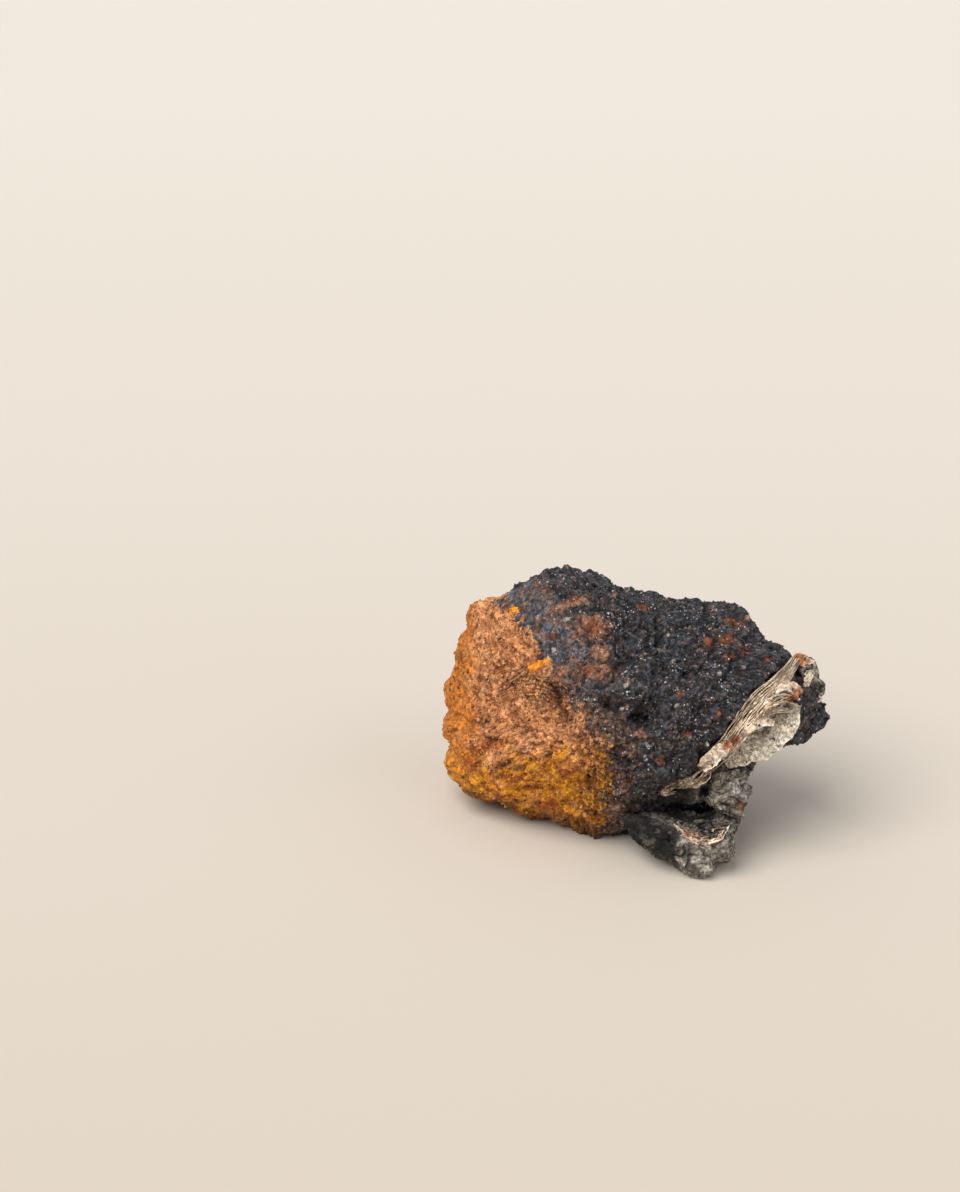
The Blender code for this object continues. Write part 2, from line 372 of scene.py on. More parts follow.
def face_frames(surface: Surface) -> tuple[Array, Array, Array]:
    """Measure the triangles.

    Args:
        surface: What they belong to.

    Returns:
        Each one's middle, outward normal and area.
    """
    a, b, c = (surface.points[surface.faces[:, k]] for k in range(3))
    cross = np.cross(b - a, c - a)
    length = np.linalg.norm(cross, axis=1)
    return (a + b + c) / 3, cross / np.maximum(length, 1e-12)[:, None], length / 2


# Forms that repeat the solids


@dataclass(frozen=True)
class Lump:
    """A rounded solid grown around its own centre: the edge seen from the front, a depth and broken flats.

    Lengths are in millimetres, along the view's right, up and towards the eye.
    """

    centre: Way
    edge: tuple[Pair, ...]
    front: float
    back: float
    boxiness: float
    # Each flat: the way that it faces, and its distance from the centre.
    flats: tuple[tuple[Way, float], ...]
    # Each swell: right, up, height, half its length, half its breadth, and its turn in degrees.
    swells: tuple[tuple[float, ...], ...]
    knob_height: float
    knob_spacing: float
    seed: int
    # A swelling underneath, where it rests: its height, the way to it, and its breadth in radians.
    foot_height: float = 0.0
    foot_way: Way = (0.05, -0.74, -0.67)
    foot_breadth: float = 0.62
    # The higher, the sharper a flat's edge. Swells fade over this depth, and knobs stand about this level.
    flat_sharpness: int = 18
    near_side_fade: float = 8.0
    knob_level: float = 0.3
    knob_steepness: float = 3.0

    def edge_reach(self, ways: Array) -> Array:
        """Read the edge seen from the front.

        Args:
            ways: Unit rows out of the centre.

        Returns:
            The distance from the centre to the edge, towards each way.
        """
        edge = np.array(self.edge, float)
        knots = np.arctan2(edge[:, 1], edge[:, 0])
        order = np.argsort(knots)
        return closed_curve(np.arctan2(ways[:, 1], ways[:, 0]), knots[order], np.hypot(*edge.T)[order])

    def swell_heights(self, points: Array) -> Array:
        """Add up the near side's swells and hollows, which are bell shapes in right and up.

        Args:
            points: Points from the centre.

        Returns:
            How far each point is lifted.
        """
        lift = np.zeros(len(points))
        near = np.clip(points[:, 2] / self.near_side_fade, 0, 1)
        for right, up, height, along, across, degrees in self.swells:
            lift += height * bell(points, right, up, along, across, degrees) * near
        return lift

    def reach(self, ways: Array) -> Array:
        """Work out the surface: a rounded box, then the foot, flats, swells and knobs, in order.

        In the rounded box the shares of the edge's reach and of the depth, each to the power of the boxiness,
        sum to one. A flat's reach joins it as the soft least of the two. Furrows run where noise passes 0,
        and knobs stand between them.

        Args:
            ways: Unit rows out of the centre.

        Returns:
            The distance from the centre to the surface, towards each way.
        """
        sideways = np.hypot(ways[:, 0], ways[:, 1])
        depth = np.where(ways[:, 2] > 0, self.front, self.back)
        powers = (sideways / self.edge_reach(ways)) ** self.boxiness
        powers = powers + (abs(ways[:, 2]) / depth) ** self.boxiness
        reach = powers ** (-1 / self.boxiness)
        foot = np.array(self.foot_way) / np.linalg.norm(self.foot_way)
        away = np.arccos(np.clip(ways @ foot, -1, 1))
        reach += self.foot_height * np.exp(-((away / self.foot_breadth) ** 2))
        inverse = reach ** -self.flat_sharpness
        for facing, distance in self.flats:
            facing = np.array(facing) / np.linalg.norm(facing)
            inverse += (np.clip(ways @ facing, 0, None) / distance) ** self.flat_sharpness
        reach = inverse ** (-1 / self.flat_sharpness)
        points = ways * reach[:, None]
        reach += self.swell_heights(points)
        coarse = 1 - self.knob_steepness * np.abs(smooth_noise(points / self.knob_spacing, self.seed))
        fine = 1 - self.knob_steepness * np.abs(smooth_noise(points / self.knob_spacing * 2.1, self.seed + 1))
        return reach + self.knob_height * (self.knob_level - 0.7 * coarse - 0.3 * fine)

    def front_at(self, right: Array, up: Array) -> Array:
        """Find the near side by trial, in steps of a fifth of a millimetre.

        Args:
            right: Places seen from the front.
            up: Places seen from the front.

        Returns:
            How far towards the eye the surface lies there.
        """
        trials = np.arange(-12.0, 34.0, 0.2)
        columns = np.broadcast_arrays(right[:, None], up[:, None], trials[None])
        points = np.stack(columns, axis=-1).reshape(-1, 3) - np.array(self.centre)
        away = np.linalg.norm(points, axis=1)
        inside = (away < self.reach(points / away[:, None])).reshape(len(right), -1)
        return trials[inside.shape[1] - 1 - np.argmax(inside[:, ::-1], axis=1)]

    def world(self, ways: Array, reach: Array) -> Array:
        """Place the surface in the world, cut off flat at the ground along each way.

        Args:
            ways: Unit rows out of the centre.
            reach: The distance along each.

        Returns:
            World points in metres.
        """
        centre = VIEW.place(np.array([self.centre], float))[0]
        points = VIEW.place(np.array(self.centre) + ways * reach[:, None])
        below = points[:, 2] < 0
        share = centre[2] / (centre[2] - points[below, 2])
        points[below] = centre + (points[below] - centre) * share[:, None]
        points[below, 2] = 0
        return points


def bell(points: Array, right: float, up: float, along: float, across: float, degrees: float) -> Array:
    """Work out a bell: e to the minus square of the distance, counted in half its length and breadth.

    Args:
        points: Points in the view's directions.
        right: Its middle.
        up: Its middle.
        along: Half its length.
        across: Half its breadth.
        degrees: How far its length is turned up from the right.

    Returns:
        1 in the middle, falling to 0.
    """
    turn = math.radians(degrees)
    x = points[:, 0] - right
    y = points[:, 1] - up
    u = (x * math.cos(turn) + y * math.sin(turn)) / along
    v = (y * math.cos(turn) - x * math.sin(turn)) / across
    return np.exp(-(u ** 2 + v ** 2))


def groove(points: Array, start: Pair, end: Pair, width: float) -> Array:
    """Work out a groove along a straight line seen from the front, by the distance to the line.

    Args:
        points: Points in the view's directions.
        start: Right and up of one end.
        end: Right and up of the other.
        width: How far it reaches on either side.

    Returns:
        1 on the line, falling to 0 at the width.
    """
    begin = np.array(start)
    line = np.array(end) - begin
    share = np.clip((points[:, :2] - begin) @ line / (line @ line), 0, 1)
    away = np.linalg.norm(points[:, :2] - begin - share[:, None] * line, axis=1)
    return 1 - step(0, width, away)


MASS = Lump(
    centre=(0, 0, 0),
    edge=(
        (-21, 38.5), (-12, 39.5), (-4, 37.5), (3, 32.5), (11, 31), (22, 31.5), (30, 30), (39, 26),
        (42.5, 21.5), (47, 18), (53, 14.5), (57, 10), (61, 4), (64.5, -2), (63, -7), (56.5, -10.5),
        (50, -12.5), (43, -14),
        (39, -20), (35, -27), (27, -32), (14, -34.5), (3, -36), (-9, -36.5), (-17, -34.5), (-26, -32),
        (-35, -29), (-43, -27), (-47.5, -24.5), (-49.5, -19.5), (-53, -12), (-54, -4), (-53, 4), (-50, 13),
        (-48.5, 19.5), (-47.5, 27), (-43, 31), (-38, 32), (-33, 32), (-28, 35),
    ),
    front=36,
    back=38,
    boxiness=2.35,
    flats=(
        ((-0.60, 0.02, 0.80), 33.0),
        ((-0.94, -0.05, 0.33), 50.0),
        ((-0.20, -0.70, 0.68), 33.5),
        ((0.655, -0.544, 0.52), 42.0),
        ((0.30, 0.62, 0.72), 35.0),
        ((-0.38, 0.05, -0.92), 29.0),
        ((0.45, 0.45, -0.77), 33.0),
        ((-0.80, 0.35, -0.48), 46.0),
        ((0.85, -0.20, -0.48), 58.0),
    ),
    swells=(
        (-15, 22, -2.0, 10, 4, 25),
        (-5, 17, 1.5, 9, 5, 75),
        (8, -3, -4.0, 6, 3.5, 30),
        (24, 8, 2.5, 12, 9, 30),
        (1, 27, 2.0, 12, 5, 0),
        (-24, 4, 1.8, 7, 4, 40),
        (-18, 2, -2.0, 5, 2.0, 70),
        (-28, -16, 2.5, 14, 5, -20),
        (-33, 12, -1.5, 4, 3.0, 0),
        (24, -29, -8.0, 14, 6, 10),
        (33, -20, -4.0, 9, 6, 45),
        (46, -4, -4.5, 14, 3.0, 52),
        (38, -3, -3.5, 17, 2.6, 49),
    ),
    knob_height=1.9,
    knob_spacing=12.0,
    seed=3,
    foot_height=9.0,
)
SLAB_MIDDLE = Lump(
    centre=(28, -25, 9),
    edge=(
        (-19, -2.5), (-15, 0), (-9, 2.5), (-4, 5.5), (2, 6.5), (7, 6), (10.5, 2), (10, -3), (8, -7), (3, -6),
        (-2, -3.5), (-10, -4),
    ),
    front=9,
    back=15,
    boxiness=3.0,
    flats=(((0.0, 0.5, 0.87), 8.5),),
    swells=((-2, 1, -2.0, 5, 2.5, 70),),
    knob_height=1.0,
    knob_spacing=7.0,
    seed=11,
)
SLAB_LOWER = Lump(
    centre=(21, -39, 12),
    edge=(
        (-19, 6.5), (-8, 7), (4, 7), (13.5, 7), (14, 0), (13, -6), (9, -7.5), (7, -11), (3, -12.5), (-1, -11),
        (-5, -7), (-12, -3.5), (-17, 2),
    ),
    front=14,
    back=16,
    boxiness=3.0,
    flats=(((0.05, 0.90, 0.44), 7.5), ((0.25, -0.35, 0.90), 13.5)),
    swells=((8, -4, -1.5, 1.5, 6, 0),),
    knob_height=0.9,
    knob_spacing=7.0,
    seed=17,
)
HOOK = Lump(
    centre=(58, 8.5, 7),
    edge=((-5, 6), (0, 6.5), (2, 4), (2.5, 0), (4.5, -3), (3, -6), (-0.5, -5), (-3, -1)),
    front=5,
    back=5,
    boxiness=2.4,
    flats=(),
    swells=(),
    knob_height=0.4,
    knob_spacing=4.0,
    seed=23,
)


# Finishes


def paint(red: int, green: int, blue: int) -> Colour:
    """Return a linear colour for screen values from 0 to 255, by the usual screen curve."""
    screen = np.array([red, green, blue]) / 255
    return tuple(np.where(screen <= 0.04045, screen / 12.92, ((screen + 0.055) / 1.055) ** 2.4).tolist())


class Wiring:
    """Adds nodes to a shader tree and joins them, so that a finish reads as a list of steps."""

    def __init__(self, tree: bpy.types.NodeTree) -> None:
        """Keep the tree that the nodes go into."""
        self.tree = tree

    def feed(self, node: bpy.types.Node, sockets: dict) -> None:
        """Give sockets of a node their values, or join other nodes' outputs to them.

        Args:
            node: The node.
            sockets: A value or another node's output for each socket, told by its name or number.
        """
        for name, value in sockets.items():
            socket = node.inputs[name]
            if isinstance(value, Socket):
                self.tree.links.new(value, socket)
            else:
                socket.default_value = (*value, 1.0) if socket.type == "RGBA" and len(value) == 3 else value

    def add(self, kind: str, sockets: dict, **settings: object) -> bpy.types.Node:
        """Add a node.

        Args:
            kind: Which node.
            sockets: What feed gives to its sockets.
            settings: The node's own settings.

        Returns:
            The node.
        """
        node = self.tree.nodes.new(kind)
        for name, value in settings.items():
            setattr(node, name, value)
        self.feed(node, sockets)
        return node

    def place(self) -> Socket:
        """Return the point on the object, in metres."""
        return self.add("ShaderNodeTexCoord", {}).outputs["Object"]

    def drawn_out(self, turn: Way, stretch: float) -> Socket:
        """Return the point in turned axes, the first squeezed, so that a pattern is drawn out along it."""
        sockets = {"Vector": self.place(), "Rotation": turn, "Scale": (stretch, 1.0, 1.0)}
        return self.add("ShaderNodeMapping", sockets, vector_type="TEXTURE").outputs["Vector"]

    def mask(self, name: str) -> Socket:
        """Return a number that the mesh carries at each point."""
        return self.add("ShaderNodeAttribute", {}, attribute_name=name).outputs["Fac"]

    def noise(
        self, scale: object, detail: float = 4.0, roughness: float = 0.6, at: Optional[Socket] = None
    ) -> Socket:
        """Return cloudy noise from 0 to 1, with that many waves to the metre."""
        sockets = {"Vector": at or self.place(), "Scale": scale, "Detail": detail, "Roughness": roughness}
        return self.add("ShaderNodeTexNoise", sockets).outputs["Fac"]

    def spread(self, value: Socket, low: float, high: float, bottom: float = 0.0, top: float = 1.0) -> Socket:
        """Return a soft step from bottom, where the value is low, to top, where it is high."""
        sockets = {"Value": value, "From Min": low, "From Max": high, "To Min": bottom, "To Max": top}
        return self.add("ShaderNodeMapRange", sockets, interpolation_type="SMOOTHSTEP").outputs["Result"]

    def reckon(self, operation: str, first: object, second: object = 0.0, held: bool = False) -> Socket:
        """Return the result of a sum such as ADD or DIVIDE, held between 0 and 1 if that is asked for."""
        sockets = {0: first, 1: second}
        return self.add("ShaderNodeMath", sockets, operation=operation, use_clamp=held).outputs[0]

    def times(self, first: object, second: object) -> Socket:
        """Return a product held between 0 and 1."""
        return self.reckon("MULTIPLY", first, second, held=True)

    def blend(self, share: object, first: object, second: object, mode: str = "MIX") -> Socket:
        """Return the first colour turned into the second by a share."""
        sockets = {0: share, 6: first, 7: second}
        return self.add("ShaderNodeMix", sockets, data_type="RGBA", blend_type=mode).outputs[2]

    def speckle(
        self, colour: object, name: str, grain: object, low: float, high: float, new: Colour
    ) -> Socket:
        """Return a colour turned into a new one where a mask is, broken up by a grain between two levels."""
        share = self.times(self.mask(name), self.spread(grain, low, high))
        return self.blend(share, colour, new)

    def grit(self, scale: float, relief: object) -> bpy.types.Node:
        """Return a node of the shared fine grit, its relief a number or socket in metres."""
        sockets = {"Place": self.place(), "Scale": scale, "Relief": relief}
        return self.add("ShaderNodeGroup", sockets, node_tree=grit_group())


def grit_group() -> bpy.types.NodeTree:
    """Make the shader group of fine grit that every finish here uses, once.

    Crumbs are cells of noise in swirled places. A few small cells, more of them where a wide noise is high,
    are painted glints: pale points of highlight. The relief is fine noise less the distance from each crumb's
    middle, and the brightness is painted from the same noise, lighter where the relief is high and darker
    where it is low: painted shade, times a random tone for each crumb.

    Returns:
        The group. It puts out a brightness for each crumb, partly painted shade, a mask of the painted glints
        and a rough normal.
    """
    name = "fine_grit"
    if name in bpy.data.node_groups:
        return bpy.data.node_groups[name]
    tree = bpy.data.node_groups.new(name, "ShaderNodeTree")
    for socket, way, kind in (
        ("Place", "INPUT", "Vector"), ("Scale", "INPUT", "Float"), ("Relief", "INPUT", "Float"),
        ("Shade", "OUTPUT", "Float"), ("Pale", "OUTPUT", "Float"), ("Normal", "OUTPUT", "Vector"),
    ):
        tree.interface.new_socket(socket, in_out=way, socket_type="NodeSocket" + kind)
    w = Wiring(tree)
    given = w.add("NodeGroupInput", {})
    at = given.outputs["Place"]
    scale = given.outputs["Scale"]
    swirl = w.add("ShaderNodeTexNoise", {"Vector": at, "Scale": scale, "Detail": 2.0}).outputs["Color"]
    centred = w.add("ShaderNodeVectorMath", {0: swirl, 1: (0.5, 0.5, 0.5)}, operation="SUBTRACT").outputs[0]
    push = w.reckon("DIVIDE", 0.9, scale)
    moved = w.add("ShaderNodeVectorMath", {0: centred, "Scale": push}, operation="SCALE").outputs[0]
    swirled = w.add("ShaderNodeVectorMath", {0: at, 1: moved}, operation="ADD").outputs[0]
    grains = w.add("ShaderNodeTexVoronoi", {"Vector": swirled, "Scale": scale})
    dice = w.add("ShaderNodeSeparateColor", {"Color": grains.outputs["Color"]}).outputs
    wide = w.reckon("MULTIPLY", scale, 0.09)
    flock = w.noise(wide, 2.0, 0.5, at)
    chance = w.spread(flock, 0.42, 0.66, 0.988, 0.80)
    rare = w.reckon("GREATER_THAN", dice[0], chance)
    size = w.spread(dice[2], 0.0, 1.0, 0.20, 0.58)
    core = w.reckon("GREATER_THAN", size, grains.outputs["Distance"])
    # Painted glints: the cores of a few rare cells, marked to be painted pale.
    pale = w.times(w.times(rare, core), w.spread(dice[1], 0.0, 1.0, 0.3, 1.0))
    coarse = w.reckon("MULTIPLY", scale, 0.45)
    crumbs = w.add("ShaderNodeTexVoronoi", {"Vector": swirled, "Scale": coarse})
    tint = w.add("ShaderNodeSeparateColor", {"Color": crumbs.outputs["Color"]}).outputs[0]
    noise = w.noise(coarse, 5.0, 0.75, at)
    # Painted shade: brighter where the relief noise is high, darker where it is low.
    relief_shade = w.spread(noise, 0.33, 0.66, 0.30, 1.85)
    shade = w.reckon("MULTIPLY", relief_shade, w.spread(tint, 0.0, 1.0, 0.70, 1.35))
    height = w.reckon("SUBTRACT", noise, w.times(crumbs.outputs["Distance"], 0.40), held=True)
    bump = w.add("ShaderNodeBump", {"Height": height, "Strength": 1.0, "Distance": given.outputs["Relief"]})
    w.add("NodeGroupOutput", {"Shade": shade, "Pale": pale, "Normal": bump.outputs["Normal"]})
    return tree


def new_finish(name: str) -> tuple[bpy.types.Material, Wiring, bpy.types.Node]:
    """Start a finish.

    Args:
        name: The material's name.

    Returns:
        The material, its wiring and its Principled shader.
    """
    material = bpy.data.materials.new(name)
    material.use_nodes = True
    tree = material.node_tree
    return material, Wiring(tree), tree.nodes["Principled BSDF"]


@dataclass(frozen=True)
class ChagaFinish:
    """The fungus: black cinder crust with brown plates, and the corky inside, told apart by masks."""

    black: Colour = paint(15, 16, 20)
    # Slate mottles the crust, and is also painted on its crests as a highlight.
    slate: Colour = paint(86, 92, 104)
    dark_slate: Colour = paint(50, 52, 60)
    blue_grey: Colour = paint(98, 104, 117)
    earth: Colour = paint(98, 72, 58)
    # The colour of the painted glints on the crust.
    glint: Colour = paint(232, 231, 235)
    rust: Colour = paint(132, 70, 36)
    plate: Colour = paint(158, 110, 84)
    brown: Colour = paint(132, 92, 66)
    tan: Colour = paint(176, 112, 66)
    # Brighter patches of the inside, also painted on its crests and fibres as a highlight.
    bright: Colour = paint(232, 166, 110)
    umber: Colour = paint(124, 84, 56)
    orange: Colour = paint(190, 110, 18)
    yellow: Colour = paint(214, 142, 16)
    rust_red: Colour = paint(152, 76, 16)
    chip: Colour = paint(238, 146, 34)
    # The inside's dark-brown specks, also painted in its pits and troughs as shade.
    pit: Colour = paint(62, 31, 15)
    # The colour of the painted glints on the inside.
    pale: Colour = paint(240, 214, 186)
    # The colour of the painted glints at listed spots on the crust.
    fleck: Colour = paint(222, 210, 198)
    # Painted shade in the crust's seams, cracks and pits.
    hollow: Colour = paint(10, 9, 9)
    # The blue-grey stretch is streaked this way: turned about the three axes, in radians.
    streak_turn: Way = (0.0, -0.616, 0.352)
    # The fine grit's waves to the metre, its relief on the crust and inside, and a bare fibre's, in metres.
    grit_scale: float = 1700.0
    grit_relief: Pair = (0.0010, 0.0005)
    fibre_relief: float = 0.0006

    def crust_colour(self, w: Wiring, grain: object, grit: bpy.types.Node) -> Socket:
        """Work out the crust's colour: black, slate, slate on crests as a painted highlight, greys, browns,
        rust, painted glints, and dark seams as painted shade.

        Args:
            w: The wiring to add to.
            grain: Fine noise that breaks up the patches.
            grit: The fine grit.

        Returns:
            The colour.
        """
        tone = w.mask("tone")
        colour = w.blend(w.spread(grain, 0.48, 0.68, 0.0, 0.62), self.black, self.slate)
        # Slate where the tone is high: on the body the tone follows the relief, so this is a painted
        # highlight on the crests; on the grains it is a random tone.
        colour = w.blend(w.spread(tone, 0.55, 1.0, 0.0, 0.5), colour, self.slate)
        colour = w.blend(w.spread(w.noise(160.0, 6.0, 0.7), 0.58, 0.72, 0.0, 0.45), colour, self.earth)
        streaks = w.noise(560.0, 5.0, 0.7, w.drawn_out(self.streak_turn, 4.0))
        greyed = w.blend(w.spread(streaks, 0.42, 0.60), self.dark_slate, self.blue_grey)
        greyed = w.blend(w.spread(w.noise(200.0, 6.0, 0.72), 0.49, 0.57, 0.0, 0.9), greyed, self.brown)
        colour = w.blend(w.times(w.mask("grey"), w.spread(grain, 0.2, 0.5)), colour, greyed)
        colour = w.speckle(colour, "brown", grain, 0.36, 0.60, self.brown)
        colour = w.speckle(colour, "plate", grain, 0.30, 0.50, self.plate)
        colour = w.speckle(colour, "rust", grain, 0.30, 0.50, self.rust)
        # Black where the tone is low: painted shade in the troughs of the body's relief, and a random darker
        # tone on grains.
        colour = w.blend(w.spread(tone, 0.0, 0.45, 0.65, 0.0), colour, self.black)
        # Painted shade and highlight from the fine grit's relief.
        colour = w.blend(1.0, colour, grit.outputs["Shade"], "MULTIPLY")
        # Painted glints, fewer on the blue-grey stretch.
        glints = w.times(grit.outputs["Pale"], w.spread(w.mask("grey"), 0.0, 1.0, 1.0, 0.6))
        colour = w.blend(glints, colour, self.glint)
        # Painted glints at the listed spots.
        colour = w.speckle(colour, "fleck", grain, 0.35, 0.50, self.fleck)
        # Painted shade in the seams, cracks and pits.
        return w.blend(w.times(w.mask("hollow"), 0.9), colour, self.hollow)

    def fibre_height(self, w: Wiring) -> Socket:
        """Return a wave for each bare fibre, from the mesh's count of them, as strong as they show."""
        wave = w.reckon("SINE", w.reckon("MULTIPLY", w.mask("strand"), TURN))
        return w.reckon("MULTIPLY", wave, w.mask("bare"))

    def inside_colour(self, w: Wiring, grain: object, grit: bpy.types.Node) -> Socket:
        """Work out the inside's colour: tan, brighter crests as a painted highlight, orange at the rim,
        yellow below, and dark pits and troughs as painted shade.

        Args:
            w: The wiring to add to.
            grain: Fine noise that breaks up the patches.
            grit: The fine grit.

        Returns:
            The colour.
        """
        tone = w.mask("tone")
        patches = w.noise(240.0, 6.0, 0.72)
        warm = w.reckon("ADD", w.mask("orange"), w.mask("yellow"), held=True)
        colour = w.blend(w.spread(w.noise(95.0, 6.0, 0.65), 0.42, 0.58, 0.0, 0.75), self.tan, self.bright)
        colour = w.blend(w.spread(patches, 0.52, 0.64, 0.0, 0.8), colour, self.umber)
        rim = w.times(w.mask("orange"), w.spread(patches, 0.72, 0.5, 0.4, 0.95))
        colour = w.blend(rim, colour, self.orange)
        below = w.times(w.mask("yellow"), w.spread(w.noise(130.0, 6.0, 0.68), 0.38, 0.52, 0.3, 1.0))
        colour = w.blend(below, colour, self.yellow)
        rusty = w.spread(w.noise(180.0, 6.0, 0.7), 0.51, 0.59, 0.0, 0.8)
        colour = w.blend(w.times(rusty, w.mask("yellow")), colour, self.rust_red)
        # Painted highlight on the crests, where the body's tone follows the raised relief; on the grains the
        # tone is random.
        crest = w.times(w.spread(tone, 0.55, 1.0, 0.0, 0.6), w.spread(warm, 0.0, 1.0, 1.0, 0.25))
        colour = w.blend(crest, colour, self.bright)
        # Painted shade in the troughs, where the tone is low.
        colour = w.blend(w.spread(tone, 0.05, 0.42, 0.7, 0.0), colour, self.pit)
        colour = w.speckle(colour, "brown", grain, 0.42, 0.54, self.pit)
        colour = w.speckle(colour, "rust", grain, 0.30, 0.55, self.rust_red)
        fibres = self.fibre_height(w)
        # Painted highlight on each fibre's crest and painted shade in the furrow beside it.
        colour = w.blend(w.spread(fibres, 0.2, 0.9, 0.0, 0.35), colour, self.bright)
        colour = w.blend(w.spread(fibres, -0.9, -0.1, 0.42, 0.0), colour, self.pit)
        colour = w.blend(w.mask("chip"), colour, self.chip)
        # Painted shade and highlight from the fine grit's relief.
        colour = w.blend(0.65, colour, grit.outputs["Shade"], "MULTIPLY")
        # Painted glints, fewer on the orange and yellow zones.
        grains = w.times(grit.outputs["Pale"], w.spread(warm, 0.0, 1.0, 0.85, 0.35))
        colour = w.blend(grains, colour, self.pale)
        # Painted shade in the pits, caves and hollows.
        return w.blend(w.times(w.mask("hollow"), 0.95), colour, self.pit)

    def material(self) -> bpy.types.Material:
        """Make the finish: the crust's colour turned into the inside's by a mask broken up by noise.

        Returns:
            The material.
        """
        material, w, shader = new_finish("chaga")
        grain = w.noise(700.0, 4.0, 0.75)
        islands = w.spread(w.noise(300.0, 6.0, 0.75), 0.35, 0.65, -0.5, 0.5)
        edge = w.reckon("ADD", w.mask("inside"), islands)
        share = w.spread(edge, 0.44, 0.56)
        grit = w.grit(self.grit_scale, w.spread(share, 0.0, 1.0, *self.grit_relief))
        crust = self.crust_colour(w, grain, grit)
        inside = self.inside_colour(w, grain, grit)
        ridged = w.add("ShaderNodeBump", {
            "Height": self.fibre_height(w), "Normal": grit.outputs["Normal"], "Strength": 1.0,
            "Distance": self.fibre_relief,
        })
        w.feed(shader, {
            "Base Color": w.blend(share, crust, inside),
            "Roughness": w.spread(share, 0.0, 1.0, 0.48, 0.78),
            "Specular IOR Level": 0.5,
            "Normal": ridged.outputs["Normal"],
        })
        return material


@dataclass(frozen=True)
class BarkFinish:
    """Birch bark: a ground streaked along its layers, with dark flecks, lichen and rust stains, and painted
    shade in its hollows.
    """

    name: str
    ground: Colour
    streak: Colour
    shade: Colour
    stain: Colour
    lichen: Colour
    fleck: Colour = paint(40, 33, 28)
    # Painted shade where the hollow mask is: in clefts, seams, sunk places and under each leaf.
    gap: Colour = paint(16, 13, 11)
    # The fine grit's waves to the metre, and its relief in metres.
    grit_scale: float = 1900.0
    grit_relief: float = 0.0007

    def material(self) -> bpy.types.Material:
        """Make the finish. Its streaks follow the mesh's own mask of layers.

        Returns:
            The material.
        """
        material, w, shader = new_finish(self.name)
        cloud = w.noise(170.0, 5.0)
        grain = w.noise(900.0, 4.0, 0.7)
        grit = w.grit(self.grit_scale, self.grit_relief)
        layer = w.mask("layer")
        colour = w.blend(w.spread(layer, 0.25, 0.75), self.ground, self.streak)
        colour = w.blend(w.spread(cloud, 0.42, 0.68, 0.0, 0.7), colour, self.streak)
        colour = w.speckle(colour, "lichen", cloud, 0.35, 0.55, self.lichen)
        colour = w.blend(w.spread(grain, 0.34, 0.50, 0.75, 0.0), colour, self.shade)
        colour = w.speckle(colour, "stain", grain, 0.3, 0.5, self.stain)
        colour = w.speckle(colour, "fleck", grain, 0.35, 0.55, self.fleck)
        # Painted shade and highlight from the fine grit's relief, then painted shade in the hollows.
        colour = w.blend(0.75, colour, grit.outputs["Shade"], "MULTIPLY")
        colour = w.blend(w.mask("hollow"), colour, self.gap)
        w.feed(shader, {
            "Base Color": colour, "Roughness": 0.8, "Specular IOR Level": 0.35,
            "Normal": grit.outputs["Normal"],
        })
        return material


class Bark(Enum):
    """The kinds of bark."""

    CREAM = BarkFinish(
        "bark_cream", ground=paint(250, 234, 212), streak=paint(214, 184, 154), shade=paint(150, 120, 96),
        stain=paint(172, 104, 64), lichen=paint(214, 206, 192),
    )
    GREY = BarkFinish(
        "bark_grey", ground=paint(206, 198, 185), streak=paint(154, 145, 133), shade=paint(76, 68, 61),
        stain=paint(104, 72, 54), lichen=paint(208, 205, 198),
    )
    # The grey bark painted lighter for the flap, which faces away from the key light: painted light.
    PALE = BarkFinish(
        "bark_pale", ground=paint(244, 232, 212), streak=paint(204, 188, 166), shade=paint(110, 94, 78),
        stain=paint(112, 78, 58), lichen=paint(222, 218, 208),
    )
    DARK = BarkFinish(
        "bark_dark", ground=paint(25, 24, 24), streak=paint(107, 100, 92), shade=paint(24, 21, 20),
        stain=paint(150, 96, 58), lichen=paint(178, 172, 160),
    )


# The fungus


@dataclass(frozen=True)
class Spot:
    """A patch on the near side: right and up from the middle, its length, breadth and turn in degrees."""

    right: float
    up: float
    length: float
    breadth: float
    turn: float = 0.0

    def share(self, points: Array, seed: int, ragged: float = 0.3) -> Array:
        """Return 1 inside the patch and 0 outside: a bell, its edge broken up by coarse and fine noise."""
        spread = bell(points, self.right, self.up, self.length, self.breadth, self.turn)
        rough = ragged * (fractal(points, 3.0, seed) + 0.8 * fractal(points, 0.9, seed + 5, 2))
        return step(0.22, 0.62, spread + rough) * step(-4, 4, points[:, 2])


@dataclass(frozen=True)
class Cut:
    """A crack on the near side between two places, with its breadth and depth in millimetres."""

    start: Pair
    end: Pair
    width: float
    depth: float


def strongest(shares: Sequence[Array]) -> Array:
    """Return the largest of several shares at each point."""
    return np.max(np.stack(list(shares)), axis=0)


@dataclass(frozen=True)
class Patches:
    """All the patches of one kind."""

    spots: tuple[Spot, ...]
    seed: int
    ragged: float = 0.3

    def share(self, points: Array) -> Array:
        """Return 1 inside any of the patches and 0 outside."""
        return strongest(spot.share(points, self.seed + k, self.ragged) for k, spot in enumerate(self.spots))


